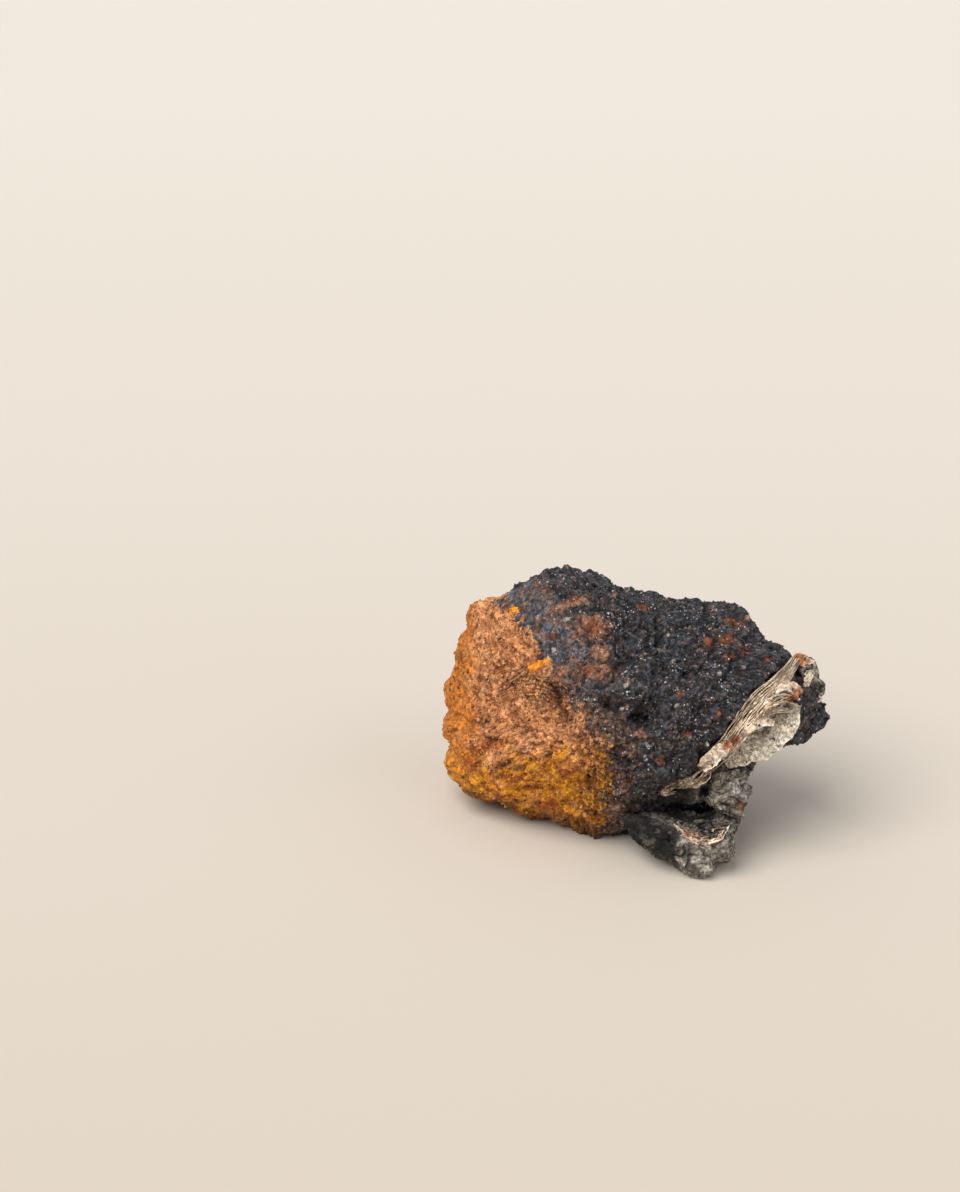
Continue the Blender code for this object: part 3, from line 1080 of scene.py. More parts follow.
@dataclass
class ChagaMass:
    """The fungus itself: a ball of six patches, blown up to the solid's form and roughened.

    Lengths are in millimetres. A band is a soft step from 0 at its first number to 1 at its second.
    """

    form: Lump = MASS
    patch_count: int = 129
    crowding: Way = (0.0, 0.05, 0.25)
    # The crust ends on a slanted line, told by its shares of right and up, and on an upright one.
    crust_line: Way = (0.83, 0.56, -9.75)
    crust_side: float = -3.0
    # The back's broken flat: the way that it faces, and its distance from the middle.
    back_break: Way = (-0.38, 0.05, -0.92)
    back_break_depth: float = 25.5
    # The blue-grey stretch and the brown one, by the distance past the crust's line.
    grey_band: Pair = (-17.0, -9.0)
    brown_band: Pair = (-12.0, -1.0)
    brown_inside_band: Pair = (10.0, 2.0)
    # The orange rim, from the middle to the left; the yellow below, and painted shade along the lower edge
    # under it.
    rim_band: Pair = (-39.0, -46.0)
    yellow_band: Pair = (-9.0, -21.0)
    lip_band: Pair = (-27.5, -30.0)
    # The relief is calmer at the left rim.
    calm_band: Pair = (-36.0, -46.0)
    calm_share: float = 0.65
    # The bare fibres curve round this place, right and up, and lie this far apart.
    arc_centre: Pair = (-26.0, -7.0)
    strand_spacing: float = 1.15
    # How far a plate or chip stands out and a pit or the crust beside the bark strip lies back.
    plate_rise: float = 0.8
    chip_rise: float = 0.7
    pit_depth: float = 1.6
    strip_depth: float = 0.9
    strip_reach: float = 6.0
    rust: Patches = Patches((
        Spot(26.7, 18.9, 1.6, 1.5), Spot(31.8, 20.1, 2.2, 1.8, 20), Spot(37.2, 17.1, 2.0, 1.6, -30),
        Spot(35.0, 24.6, 4.2, 1.2, -10), Spot(33.3, 15.0, 1.8, 1.0), Spot(-7.0, 22.6, 2.6, 1.7, 10),
        Spot(44.0, 14.0, 1.6, 0.8), Spot(8.0, 28.5, 2.0, 0.8), Spot(12.6, -15.0, 1.5, 0.9, 60),
        Spot(19.8, -7.5, 1.4, 1.0), Spot(17.4, 3.9, 1.0, 0.8), Spot(29.0, -2.0, 0.8, 1.4),
        Spot(-8.4, 10.6, 1.8, 1.0, 20), Spot(-19.4, 20.4, 1.7, 1.0, 30), Spot(-13.0, 31.0, 3.5, 0.9, 15),
        Spot(15.0, -24.0, 2.8, 1.2, 50), Spot(-38.5, -12.5, 5.0, 1.8, 15), Spot(-30.5, -21.5, 3.6, 1.5, 10),
        Spot(-25.5, -24.0, 3.2, 1.2), Spot(-43.5, -18.0, 2.0, 3.2, 20), Spot(-14.0, -19.0, 2.6, 1.6, 30),
        Spot(-20.0, -30.0, 4.0, 1.4, -12),
    ), seed=450)
    plates: Patches = Patches((
        Spot(-7.0, 23.3, 4.8, 3.8), Spot(-4.8, 15.8, 3.7, 2.6), Spot(-6.0, 10.6, 5.2, 2.8, 8),
        Spot(6.2, -7.6, 2.2, 1.5, -20), Spot(-15.9, 10.3, 3.4, 1.8, 15), Spot(-13.0, 30.0, 6.0, 2.0, 15),
    ), seed=400)
    # Painted glints at listed places on the crust.
    pale_flecks: Patches = Patches((
        Spot(2.3, 6.5, 0.9, 0.45, 40), Spot(1.1, -0.3, 0.5, 0.35, 20), Spot(16.8, 0.7, 0.7, 0.4, 60),
        Spot(-2.7, -8.0, 0.7, 0.4, -30), Spot(25.5, -10.6, 0.4, 0.8), Spot(8.6, -10.9, 0.9, 0.45, -45),
        Spot(14.4, 20.9, 1.1, 0.6), Spot(29.3, 9.9, 0.55, 0.6), Spot(39.0, 18.7, 0.6, 0.4),
        Spot(-14.5, 25.5, 1.1, 0.4, 5), Spot(-18.5, 16.5, 0.9, 0.4, 40),
    ), seed=460)
    orange_chips: Patches = Patches(
        (Spot(-29.8, 27.7, 1.7, 1.3, 30), Spot(-22.7, 12.2, 3.4, 1.2, 36)), seed=430, ragged=0.1
    )
    pits: Patches = Patches((
        Spot(-30.0, 16.2, 1.2, 0.9), Spot(-34.2, 10.8, 1.4, 0.9, 20), Spot(6.2, -3.6, 3.0, 2.1, -20),
        Spot(-2.5, 0.9, 4.2, 1.7, -38), Spot(-33.5, -17.8, 2.4, 0.9, 30), Spot(-21.0, -15.5, 1.2, 0.8),
        Spot(-8.4, -21.0, 1.2, 1.0), Spot(-38.5, -10.5, 1.6, 0.8), Spot(20.5, 10.0, 2.0, 0.9, 30),
    ), seed=480, ragged=0.15)
    cracks: tuple[Cut, ...] = (
        Cut((-8.0, 18.9), (-1.0, 18.4), 0.8, 1.6), Cut((-1.0, 18.2), (-0.4, 12.7), 0.7, 1.1),
        Cut((-0.4, 12.7), (-1.6, 7.8), 0.7, 1.1), Cut((-1.6, 7.8), (-5.4, 5.6), 0.7, 1.0),
        Cut((-8.5, 13.0), (-1.0, 12.8), 0.4, 0.6), Cut((-11.0, 26.0), (-8.6, 18.8), 0.5, 0.8),
        Cut((12.0, 24.0), (20.0, 12.0), 0.6, 0.8), Cut((-19.5, 6.0), (-15.0, -4.0), 1.2, 1.4),
        Cut((-3.0, -14.0), (4.0, -16.5), 0.8, 0.8), Cut((26.0, 30.0), (29.0, 14.0), 0.8, 1.0),
        Cut((40.0, 22.0), (31.0, 8.0), 0.7, 0.9),
    )

    def from_line(self, base: Array) -> Array:
        """Return how far each point lies on the broken side of the crust's line."""
        right, up, start = self.crust_line
        slanted = start - right * base[:, 0] - up * base[:, 1]
        return np.minimum(slanted, self.crust_side - base[:, 0])

    def share_inside(self, base: Array) -> Array:
        """Tell the crust from the inside: a soft step past the crust's line or the back's flat, made ragged.

        Args:
            base: Points of the bare form.

        Returns:
            0 on the crust and 1 on the broken inside.
        """
        facing = unit_rows(np.array(self.back_break))
        back = 1.6 * (base @ facing - self.back_break_depth)
        lower = step(8, -8, base[:, 1])
        warp = 2.4 * fractal(base, 11, 101) + (1.2 + 3.4 * lower) * fractal(base, 2.6, 109, 3)
        return step(-3.2, 3.2, np.maximum(self.from_line(base), back) + warp)

    def crust_relief(self, base: Array) -> tuple[Array, Array, Array]:
        """Work out the crust: cinders on lumps on blocks, each a cell of noise, with seams between.

        Args:
            base: Points of the bare form.

        Returns:
            The height, how deep in a seam each point is from 0 to 1, painted dark as shade, and its tone from
            0 to 1, which follows the fine relief and is painted lighter on crests and darker in troughs.
        """
        warped = base + 0.9 * np.stack([smooth_noise(base / 4, 210 + k) for k in range(3)], axis=1)
        cinders = scattered_cells(warped, 1.6, 201)
        lumps = scattered_cells(warped, 4.6, 203)
        blocks = scattered_cells(base + 2.5 * smooth_noise(base / 9, 204)[:, None], 12, 207)
        cracked = step(-0.2, 0.2, smooth_noise(base / 20, 208))
        fine = 0.65 * (0.5 - cinders.nearest) + 0.4 * (cinders.number - 0.5) + 0.45 * ridges(base, 2.1, 213)
        fine += 0.3 * fractal(base, 1.3, 215, 2)
        height = 1.7 * (0.5 - lumps.nearest) + 1.0 * (lumps.number - 0.5) + fine
        height += 1.3 * (blocks.number - 0.5) * step(0.0, 0.25, blocks.seam) + 0.5 * ridges(base, 7.0, 217)
        seam = 0.25 * (1 - step(0, 0.2, cinders.seam)) + 0.6 * (1 - step(0, 0.12, lumps.seam))
        crack = (1 - step(0.01, 0.06, blocks.seam)) * cracked
        height -= 0.4 * seam + 1.3 * crack
        return height, np.clip(0.4 * seam + crack, 0, 1), np.clip(0.5 + 0.8 * fine, 0, 1)

    def inside_relief(self, base: Array, strength: Array) -> tuple[Array, Array, Array]:
        """Work out the broken inside: crumbs, clumps and caves, each a cell of noise, on rolling ground.

        Args:
            base: Points of the bare form.
            strength: How strongly bare fibres show, which calms the crumbs.

        Returns:
            The height, how deep in a pit each point is from 0 to 1, painted dark as shade, and its tone from
            0 to 1, which follows the fine relief and the fold and is painted lighter on crests and darker in
            troughs.
        """
        swirl = np.stack([fractal(base, 2.4, 340 + 5 * k, 2) for k in range(3)], axis=1)
        crumbs = scattered_cells(base + 0.5 * swirl, 1.5, 301)
        clumps = scattered_cells(base + 0.9 * swirl, 3.4, 303)
        large = scattered_cells(base + 2.0 * swirl, 8.0, 305)
        size = 0.10 + 0.45 * (clumps.number - 0.52)
        pit = step(0.52, 0.54, clumps.number) * (1 - step(0.5 * size, 1.3 * size + 0.05, clumps.nearest))
        cave = step(0.70, 0.72, large.number) * (1 - step(0.05, 0.22, large.nearest))
        rough = fractal(base, 1.9, 317, 3)
        fine = 0.45 * (0.5 - crumbs.nearest) + 0.5 * (crumbs.number - 0.5) + 0.9 * rough
        fine = fine * (1 - 0.7 * strength)
        fold = bell(base, -30.5, -13.0, 7.5, 1.8, 30)
        height = 1.2 * fractal(base, 7.5, 315, 2) + 1.0 * fractal(base, 3.6, 321, 2)
        height += 0.7 * (0.5 - clumps.nearest)
        height += fine - 1.1 * pit - 1.8 * cave + 2.2 * fold - 1.2 * bell(base, -38.0, -12.5, 5.0, 2.0, 20)
        height *= 1 - self.calm_share * step(*self.calm_band, base[:, 0])
        return height, np.clip(0.8 * pit + 0.9 * cave, 0, 1), np.clip(0.52 + 0.6 * fine + 0.35 * fold, 0, 1)

    def strands(self, base: Array) -> tuple[Array, Array]:
        """Lay out the bare fibres: arcs round one place, straight ones to their left, faint ones elsewhere.

        Args:
            base: Points of the bare form.

        Returns:
            How many fibres lie between a start and each point, and how strongly they show there.
        """
        right, up = self.arc_centre
        wobble = 0.5 * fractal(base, 2.2, 331, 3)
        arcs = (np.hypot(base[:, 0] - right, base[:, 1] - up) + wobble) / self.strand_spacing
        lines = (base @ unit_rows(np.array([-0.62, 0.78, 0.0])) + wobble) / self.strand_spacing
        arc_share = step(0.30, 0.60, bell(base, -22.8, 4.6, 6.0, 4.4, -20) + 0.15 * fractal(base, 2.0, 333))
        line_share = step(0.25, 0.50, bell(base, -30.3, 7.6, 6.5, 2.6, 38) + 0.15 * fractal(base, 2.0, 335))
        faint = 0.22 * step(0.1, 0.5, fractal(base, 10.0, 337, 2))
        count = np.where(arc_share > 0.1, arcs, lines)
        return count, np.maximum(np.maximum(arc_share, line_share), faint) * step(0, 6, base[:, 2])

    def beside_strip(self, base: Array) -> Array:
        """Return 1 along the layered bark strip, where the crust lies lower, and 0 away from it."""
        path = [station[:2] for station in STRIP.stations]
        near = strongest(groove(base, start, end, self.strip_reach) for start, end in zip(path, path[1:]))
        return near * step(4, 10, base[:, 2])

    def zones(self, base: Array) -> dict[str, Array]:
        """Share out the colours: each zone is a band across the near side, its edge moved by noise.

        Args:
            base: Points of the bare form.

        Returns:
            The masks of the zones and patches, from 0 to 1.
        """
        right, up = base[:, 0], base[:, 1]
        near = step(-4, 4, base[:, 2])
        line = self.from_line(base)
        inside = self.share_inside(base)
        chip = self.orange_chips.share(base)
        grey = step(*self.grey_band, line + 4 * fractal(base, 6, 403)) * step(2, 8, up) * near * (1 - inside)
        brown = step(*self.brown_band, line + 7 * fractal(base, 3.5, 407)) * step(10, -4, up)
        brown = brown * (1 - inside) * near
        brown_inside = step(*self.brown_inside_band, line + 5 * fractal(base, 3, 409)) * step(16, 2, up)
        rim = step(*self.rim_band, right + 3 * fractal(base, 6, 415))
        yellow = step(*self.yellow_band, up - 0.10 * (right + 30) + 6 * fractal(base, 8, 417, 4))
        return {
            "inside": inside,
            "plate": self.plates.share(base),
            "chip": chip,
            "grey": grey,
            "rust": np.maximum(self.rust.share(base), 0.3 * step(0.85, 1.05, fractal(base, 4.5, 411))),
            "orange": np.maximum(rim, chip),
            "brown": np.maximum(brown, 0.85 * brown_inside * inside),
            "yellow": yellow * (1 - chip),
            # Painted glints at the listed spots.
            "fleck": self.pale_flecks.share(base),
        }

    def cut_cracks(self, base: Array, height: Array, hollow: Array) -> tuple[Array, Array]:
        """Cut the cracks, made crooked by noise that moves the points.

        Args:
            base: Points of the bare form.
            height: The height so far.
            hollow: How deep in a hollow each point is so far, which is painted dark as shade.

        Returns:
            The height and the hollows with the cracks, which are painted dark as shade.
        """
        near = step(-4, 4, base[:, 2])
        moves = [smooth_noise(base / 4, 413), smooth_noise(base / 4, 414), np.zeros(len(base))]
        warped = base + np.stack(moves, axis=1) * 1.5
        for cut in self.cracks:
            gap = groove(warped, cut.start, cut.end, cut.width) * near
            height = height - cut.depth * gap
            hollow = np.maximum(hollow, gap)
        return height, hollow

    def surface(self) -> Surface:
        """Build the fungus: its form, with the crust's relief and the inside's mixed by the inside's share.

        Returns:
            The surface in metres, with its masks.
        """
        ways, faces = cube_ball(self.patch_count, self.crowding)
        reach = self.form.reach(ways)
        base = ways * reach[:, None]
        masks = self.zones(base)
        inside, plate, chip, grey = (masks[name] for name in ("inside", "plate", "chip", "grey"))
        strand, bare = self.strands(base)
        crust_height, seam, crust_relief_shade = self.crust_relief(base)
        inside_height, pit, inside_relief_shade = self.inside_relief(base, bare)
        dips = self.pits.share(base)
        streaks = ridges(base @ np.array([[0.50, -0.40, 0], [-0.40, 0.65, 0], [0, 0, 0.9]]), 1.5, 405)
        calmed = crust_height * (1 - 0.6 * plate) * (1 - 0.6 * grey)
        crust_height = calmed + self.plate_rise * plate + 0.75 * grey * streaks
        beside = self.beside_strip(base)
        crust_height = crust_height * (1 - 0.6 * beside) - self.strip_depth * beside
        # Painted highlight on the ridges of the blue-grey stretch's streaks.
        crust_relief_shade = crust_relief_shade * (1 - 0.5 * grey) + 0.25 * grey * (1 + streaks)
        height = crust_height * (1 - inside) + inside_height * inside
        height = height + self.chip_rise * chip - self.pit_depth * dips
        # Painted shade: crust seams, pits and caves on the inside, listed pits, and the rims of the plates
        # are marked to be painted dark.
        hollow = np.maximum(seam * (1 - inside) * (1 - 0.6 * grey) + pit * inside, 0.75 * dips)
        hollow = np.maximum(hollow, 2.4 * plate * (1 - plate) * (1 - inside))
        height, hollow = self.cut_cracks(base, height, hollow)
        # Painted shade along the lower edge, where the surface turns under.
        under = base[:, 1] + 0.24 * (base[:, 0] + 33) + 1.5 * fractal(base, 4, 419)
        underside_shade = step(*self.lip_band, under) * inside
        masks["hollow"] = np.maximum(hollow, 0.75 * underside_shade) * (1 - chip)
        # The tone mask: painted shade and highlight that follow the relief, lighter on crests and darker in
        # troughs.
        masks["tone"] = crust_relief_shade * (1 - inside) + inside_relief_shade * inside
        masks["strand"] = strand
        masks["bare"] = bare * inside
        masks["inside"] = np.maximum(inside, chip)
        return Surface(self.form.world(ways, reach + height), faces, masks)


# The lowest that a grain or splinter may sit, in metres
LOWEST_SEAT = 0.002


@dataclass
class Seats:
    """Faces of a surface that carry small pieces, one each."""

    ground: Surface
    picked: Array
    middles: Array
    normals: Array

    def strew(self, pieces: Array, faces: Array, hollow: float, dice: Dice) -> Surface:
        """Join the small pieces, each with the masks of the face below and a tone of its own.

        Args:
            pieces: Their points, given as pieces, points, 3.
            faces: The triangles of one.
            hollow: The share of the ground's hollows, painted dark as shade, that they keep.
            dice: What the tones are drawn from.

        Returns:
            One surface.
        """
        count, size = pieces.shape[:2]
        every = (faces[None] + np.arange(count)[:, None, None] * size).reshape(-1, 3)
        below = self.ground.faces[self.picked, 0]
        masks = {name: np.repeat(values[below], size) for name, values in self.ground.masks.items()}
        masks["tone"] = np.repeat(dice.random(count), size)
        masks["hollow"] = masks["hollow"] * hollow
        return Surface(on_ground(pieces.reshape(-1, 3)), every, masks)


def picked_seats(ground: Surface, wanted: Array, count: int, dice: Dice) -> Seats:
    """Pick faces at random, by area and by how much each face wants a piece.

    Args:
        ground: The surface.
        wanted: A number from 0 to 1 for each of its points.
        count: How many to pick.
        dice: What they are drawn from.

    Returns:
        The picked faces.
    """
    middles, normals, areas = face_frames(ground)
    share = areas * wanted[ground.faces].mean(axis=1) * (middles[:, 2] > LOWEST_SEAT)
    picked = dice.choice(len(share), count, p=share / share.sum())
    return Seats(ground, picked, middles[picked], normals[picked])


@dataclass
class Grains:
    """Loose-looking grains set into a surface: balls of twenty faces, dented and stretched at random."""

    count: int
    # Half a grain's breadth in millimetres: the middle of the range, and how widely it is spread.
    size: float
    spread: float
    sunk: float
    seed: int

    # The share of the painted hollow shade below that a grain keeps.
    kept_hollow: float = 0.4

    def scatter(self, ground: Surface, wanted: Array) -> Surface:
        """Strew grains on a surface.

        Args:
            ground: What they are set into, in metres.
            wanted: A number from 0 to 1 for each point of the ground.

        Returns:
            One surface.
        """
        dice = np.random.default_rng(self.seed)
        seats = picked_seats(ground, wanted, self.count, dice)
        ball, faces = ball_of_twenty()
        size = self.size * MM * np.exp(self.spread * dice.normal(size=self.count))
        dent = dice.uniform(0.65, 1.3, (self.count, len(ball), 1))
        stretch = dice.uniform(0.7, 1.35, (self.count, 1, 3))
        grains = turned(ball[None] * dent * stretch, dice) * size[:, None, None]
        centres = seats.middles + seats.normals * size[:, None] * (1 - self.sunk)
        return seats.strew(centres[:, None] + grains, faces, self.kept_hollow, dice)


def ball_of_twenty() -> tuple[Array, Array]:
    """Build a ball of twenty faces from three golden rectangles set across each other.

    Returns:
        Its points and triangles.
    """
    golden = (1 + math.sqrt(5)) / 2
    ring = np.array([[0, a, b * golden] for a in (-1, 1) for b in (-1, 1)])
    points = np.concatenate([np.roll(ring, k, axis=1) for k in range(3)])
    # Points beside each other are 2 apart, and all others are farther.
    near = np.linalg.norm(points[:, None] - points[None], axis=2) < 2.1
    i, j, k = (index.ravel() for index in np.meshgrid(*[np.arange(12)] * 3, indexing="ij"))
    keep = (i < j) & (j < k) & near[i, j] & near[j, k] & near[i, k]
    faces = np.stack([i, j, k], axis=1)[keep]
    a, b, c = (points[faces[:, n]] for n in range(3))
    inward = np.einsum("ij,ij->i", np.cross(b - a, c - a), a) < 0
    faces[inward] = faces[inward][:, ::-1]
    return points / np.linalg.norm(points[0]), faces


def turned(points: Array, dice: Dice) -> Array:
    """Turn groups of points, each by a rotation read from a random unit quaternion.

    Args:
        points: Given as groups, points, 3.
        dice: What the quaternions are drawn from.

    Returns:
        The turned points.
    """
    w, x, y, z = unit_rows(dice.normal(size=(len(points), 4))).T
    rows = np.stack([
        1 - 2 * (y * y + z * z), 2 * (x * y - z * w), 2 * (x * z + y * w),
        2 * (x * y + z * w), 1 - 2 * (x * x + z * z), 2 * (y * z - x * w),
        2 * (x * z - y * w), 2 * (y * z + x * w), 1 - 2 * (x * x + y * y),
    ], axis=1).reshape(-1, 3, 3)
    return np.einsum("nij,nkj->nki", rows, points)


@dataclass
class Splinters:
    """Short torn fibres: three-sided tapering rods that stand or lie on the broken face."""

    count: int = 600
    length: float = 1.3
    thickness: float = 0.10
    seed: int = 61
    # The way that most fibres lie, in the view's directions, and how far they lift off the face.
    grain: Way = (0.72, 0.66, 0.2)
    lift: float = 0.12
    # The share of the painted hollow shade below that a splinter keeps.
    kept_hollow: float = 0.3
    rings: int = 4
    sides: int = 3

    def scatter(self, ground: Surface, wanted: Array) -> Surface:
        """Strew fibres on a surface: each rod follows a bent path, and a ring of corners is carried along it.

        Args:
            ground: What they stand on, in metres.
            wanted: A number from 0 to 1 for each point of the ground.

        Returns:
            One surface.
        """
        dice = np.random.default_rng(self.seed)
        seats = picked_seats(ground, wanted, self.count, dice)
        normal = seats.normals
        strand = VIEW.axes[0] * self.grain[0] + VIEW.axes[1] * self.grain[1] + VIEW.axes[2] * self.grain[2]
        lean = unit_rows(strand * 0.8 + dice.normal(scale=0.55, size=(self.count, 3)))
        lean = unit_rows(lean - np.sum(lean * normal, axis=1, keepdims=True) * normal)
        lean = unit_rows(lean + self.lift * normal)
        side = unit_rows(np.cross(lean, normal))
        other = np.cross(side, lean)
        length = self.length * MM * np.exp(0.45 * dice.normal(size=self.count))
        t = np.linspace(-0.15, 1, self.rings)
        bend = (0.35 * t ** 2)[None, :, None] * other[:, None] * dice.normal(size=(self.count, 1, 1))
        path = seats.middles[:, None] + length[:, None, None] * (t[None, :, None] * lean[:, None] + bend)
        width = self.thickness * MM * dice.uniform(0.6, 1.5, (self.count, 1)) * (1.0 - 0.8 * t[None] ** 2)
        angle = np.arange(self.sides) * TURN / self.sides
        ring = np.cos(angle)[None, :, None] * side[:, None] + np.sin(angle)[None, :, None] * other[:, None]
        rings = path[:, :, None] + width[:, :, None, None] * ring[:, None]
        tips = np.stack([path[:, 0], path[:, -1]], axis=1)
        rods = np.concatenate([rings.reshape(self.count, -1, 3), tips], axis=1)
        return seats.strew(rods, tube_faces(self.rings, self.sides), self.kept_hollow, dice)


# The bark


def ribbon_frames(stations: Array, along: Array) -> tuple[Array, Array, Array, Array]:
    """Read the smooth curve through the stations and set a frame at each place on it.

    Args:
        stations: Rows of right, up, front, half width and half thickness, in millimetres.
        along: Places, from 0 at the first station to one less than their number.

    Returns:
        Rows of the curve, and for each its heading, the way across it and the way out of it, as unit rows.
    """
    rows = open_curve(along, stations)
    heading = unit_rows(np.gradient(rows[:, :3], axis=0))
    across = unit_rows(np.cross(heading, np.array([0.0, 0.0, 1.0])))
    out = np.cross(across, heading)
    return rows, heading, across, out


@dataclass(frozen=True)
class Leaf:
    """One thin layer of bark on edge: where it starts and ends along a bundle, and its place across it."""

    start: float
    end: float
    # Shares of the bundle's half width, from -1 on the lower side to 1 on the upper.
    place: float
    # How far its edge stands out, and half its thickness, in millimetres.
    proud: float
    thickness: float
    tone: float


@dataclass
class LeafBundle:
    """Thin leaves of bark side by side on edge, with torn wavy edges and dark gaps between them: painted
    shade on each leaf's lower side and on the recessed leaves.
    """

    stations: Stations
    leaf_count: int
    seed: int
    breadth: float = 1.0
    depth: float = 3.4
    # How much prouder the leaves on the upper side stand than those on the lower side.
    tilt: float = 0.0
    tones: Pair = (0.1, 0.8)
    # The share of leaves that lie back, and how far in millimetres.
    recessed_share: float = 0.25
    recess: float = 1.1
    # The share of the bundle that a leaf may stop short of either end.
    short: float = 0.35
    sway: float = 0.16
    stain_at: Pair = (0.0, 99.0)
    stain_size: float = 1.6
    rings: int = 110
    sides: int = 8

    def laid_on(self, form: Lump, lift: float) -> "LeafBundle":
        """Return a copy whose path follows a form's near side, that far above it."""
        rows = np.array(self.stations, float)
        rows[:, 2] = form.front_at(rows[:, 0], rows[:, 1]) + lift - rows[:, 4]
        return replace(self, stations=tuple(map(tuple, rows)))

    def leaves(self) -> list[Leaf]:
        """Draw the leaves at random: evenly spaced across, each a little long or short, proud or recessed.

        Returns:
            The leaves, from the lower side to the upper.
        """
        dice = np.random.default_rng(self.seed)
        last = len(self.stations) - 1
        leaves = []
        for k in range(self.leaf_count):
            even = 2 * k / max(self.leaf_count - 1, 1) - 1
            place = float(np.clip(0.94 * even + 0.03 * dice.normal(), -1, 1))
            cut = self.short * last * (k % 3 != 0)
            recessed = dice.random() < self.recessed_share
            low, high = self.tones
            leaves.append(Leaf(
                start=float(dice.uniform(0, cut)),
                end=float(last - dice.uniform(0, cut)),
                place=place,
                proud=self.tilt * place + (-self.recess if recessed else float(dice.uniform(-0.3, 0.3))),
                thickness=float(dice.uniform(0.14, 0.34)),
                # Painted shade: a recessed leaf takes a darker tone.
                tone=float(dice.uniform(0.7, 1.0)) if recessed else float(dice.uniform(low, high)),
            ))
        return leaves

    def leaf_surface(self, leaf: Leaf, seed: int) -> Surface:
        """Build one leaf: a flat oval profile on edge, carried along the path, its edge torn by noise.

        Args:
            leaf: Its measures.
            seed: Which noise.

        Returns:
            The leaf in the view's directions, with its masks.
        """
        along = np.linspace(leaf.start, leaf.end, self.rings)
        rows, _, across, out = ribbon_frames(np.array(self.stations, float), along)
        share = np.linspace(0, 1, self.rings)
        ends = np.clip(np.minimum(share, 1 - share) / 0.05, 0.01, 1) ** 0.5
        places = np.stack([along * 6, np.full(self.rings, seed * 3.7), np.zeros(self.rings)], axis=1)
        sway = self.sway * (smooth_noise(places / 5, seed) + 0.3 * smooth_noise(places / 1.2, seed + 1))
        torn = 0.35 * smooth_noise(places / 1.6, seed + 2) + 0.2 * smooth_noise(places / 0.5, seed + 3)
        offset = (leaf.place + sway) * rows[:, 3] * self.breadth
        middle = rows[:, 4] * 0.96 + leaf.proud + torn - 0.25 - self.depth / 2
        angle = np.arange(self.sides) * TURN / self.sides
        rise = middle[:, None] + self.depth / 2 * ends[:, None] * np.sin(angle)[None]
        wide = leaf.thickness * (0.4 + 0.6 * ends)[:, None] * np.cos(angle)[None]
        wide = wide * (1 + 0.5 * smooth_noise(places / 0.9, seed + 4))[:, None]
        rings = rows[:, None, :3] + across[:, None] * (offset[:, None] + wide)[..., None]
        points, faces = closed_tube(rings + out[:, None] * rise[..., None])
        tone = leaf.tone + 0.5 * smooth_noise(places / 2.2, seed + 5)
        low = np.tile(np.sin(angle), self.rings)
        stain = bell(points, *self.stain_at, self.stain_size, self.stain_size * 0.7, 50)
        masks = {
            "layer": np.clip(np.append(np.repeat(tone, self.sides), [leaf.tone] * 2), 0, 1),
            # Painted shade on the lower side of each leaf.
            "hollow": np.append(np.clip(-low * 0.9 - 0.35, 0, 1), [0, 0]),
            "stain": np.clip(1.3 * stain, 0, 1),
            "lichen": np.zeros(len(points)),
            "fleck": 0.6 * step(0.45, 0.7, fractal(points, 1.6, seed + 6)),
        }
        return Surface(points, faces, masks)

    def surface(self) -> Surface:
        """Build all the leaves.

        Returns:
            One surface in metres.
        """
        leaves = enumerate(self.leaves())
        bundle = join([self.leaf_surface(leaf, self.seed * 10 + 10 * k) for k, leaf in leaves])
        bundle.points = on_ground(VIEW.place(bundle.points))
        return bundle


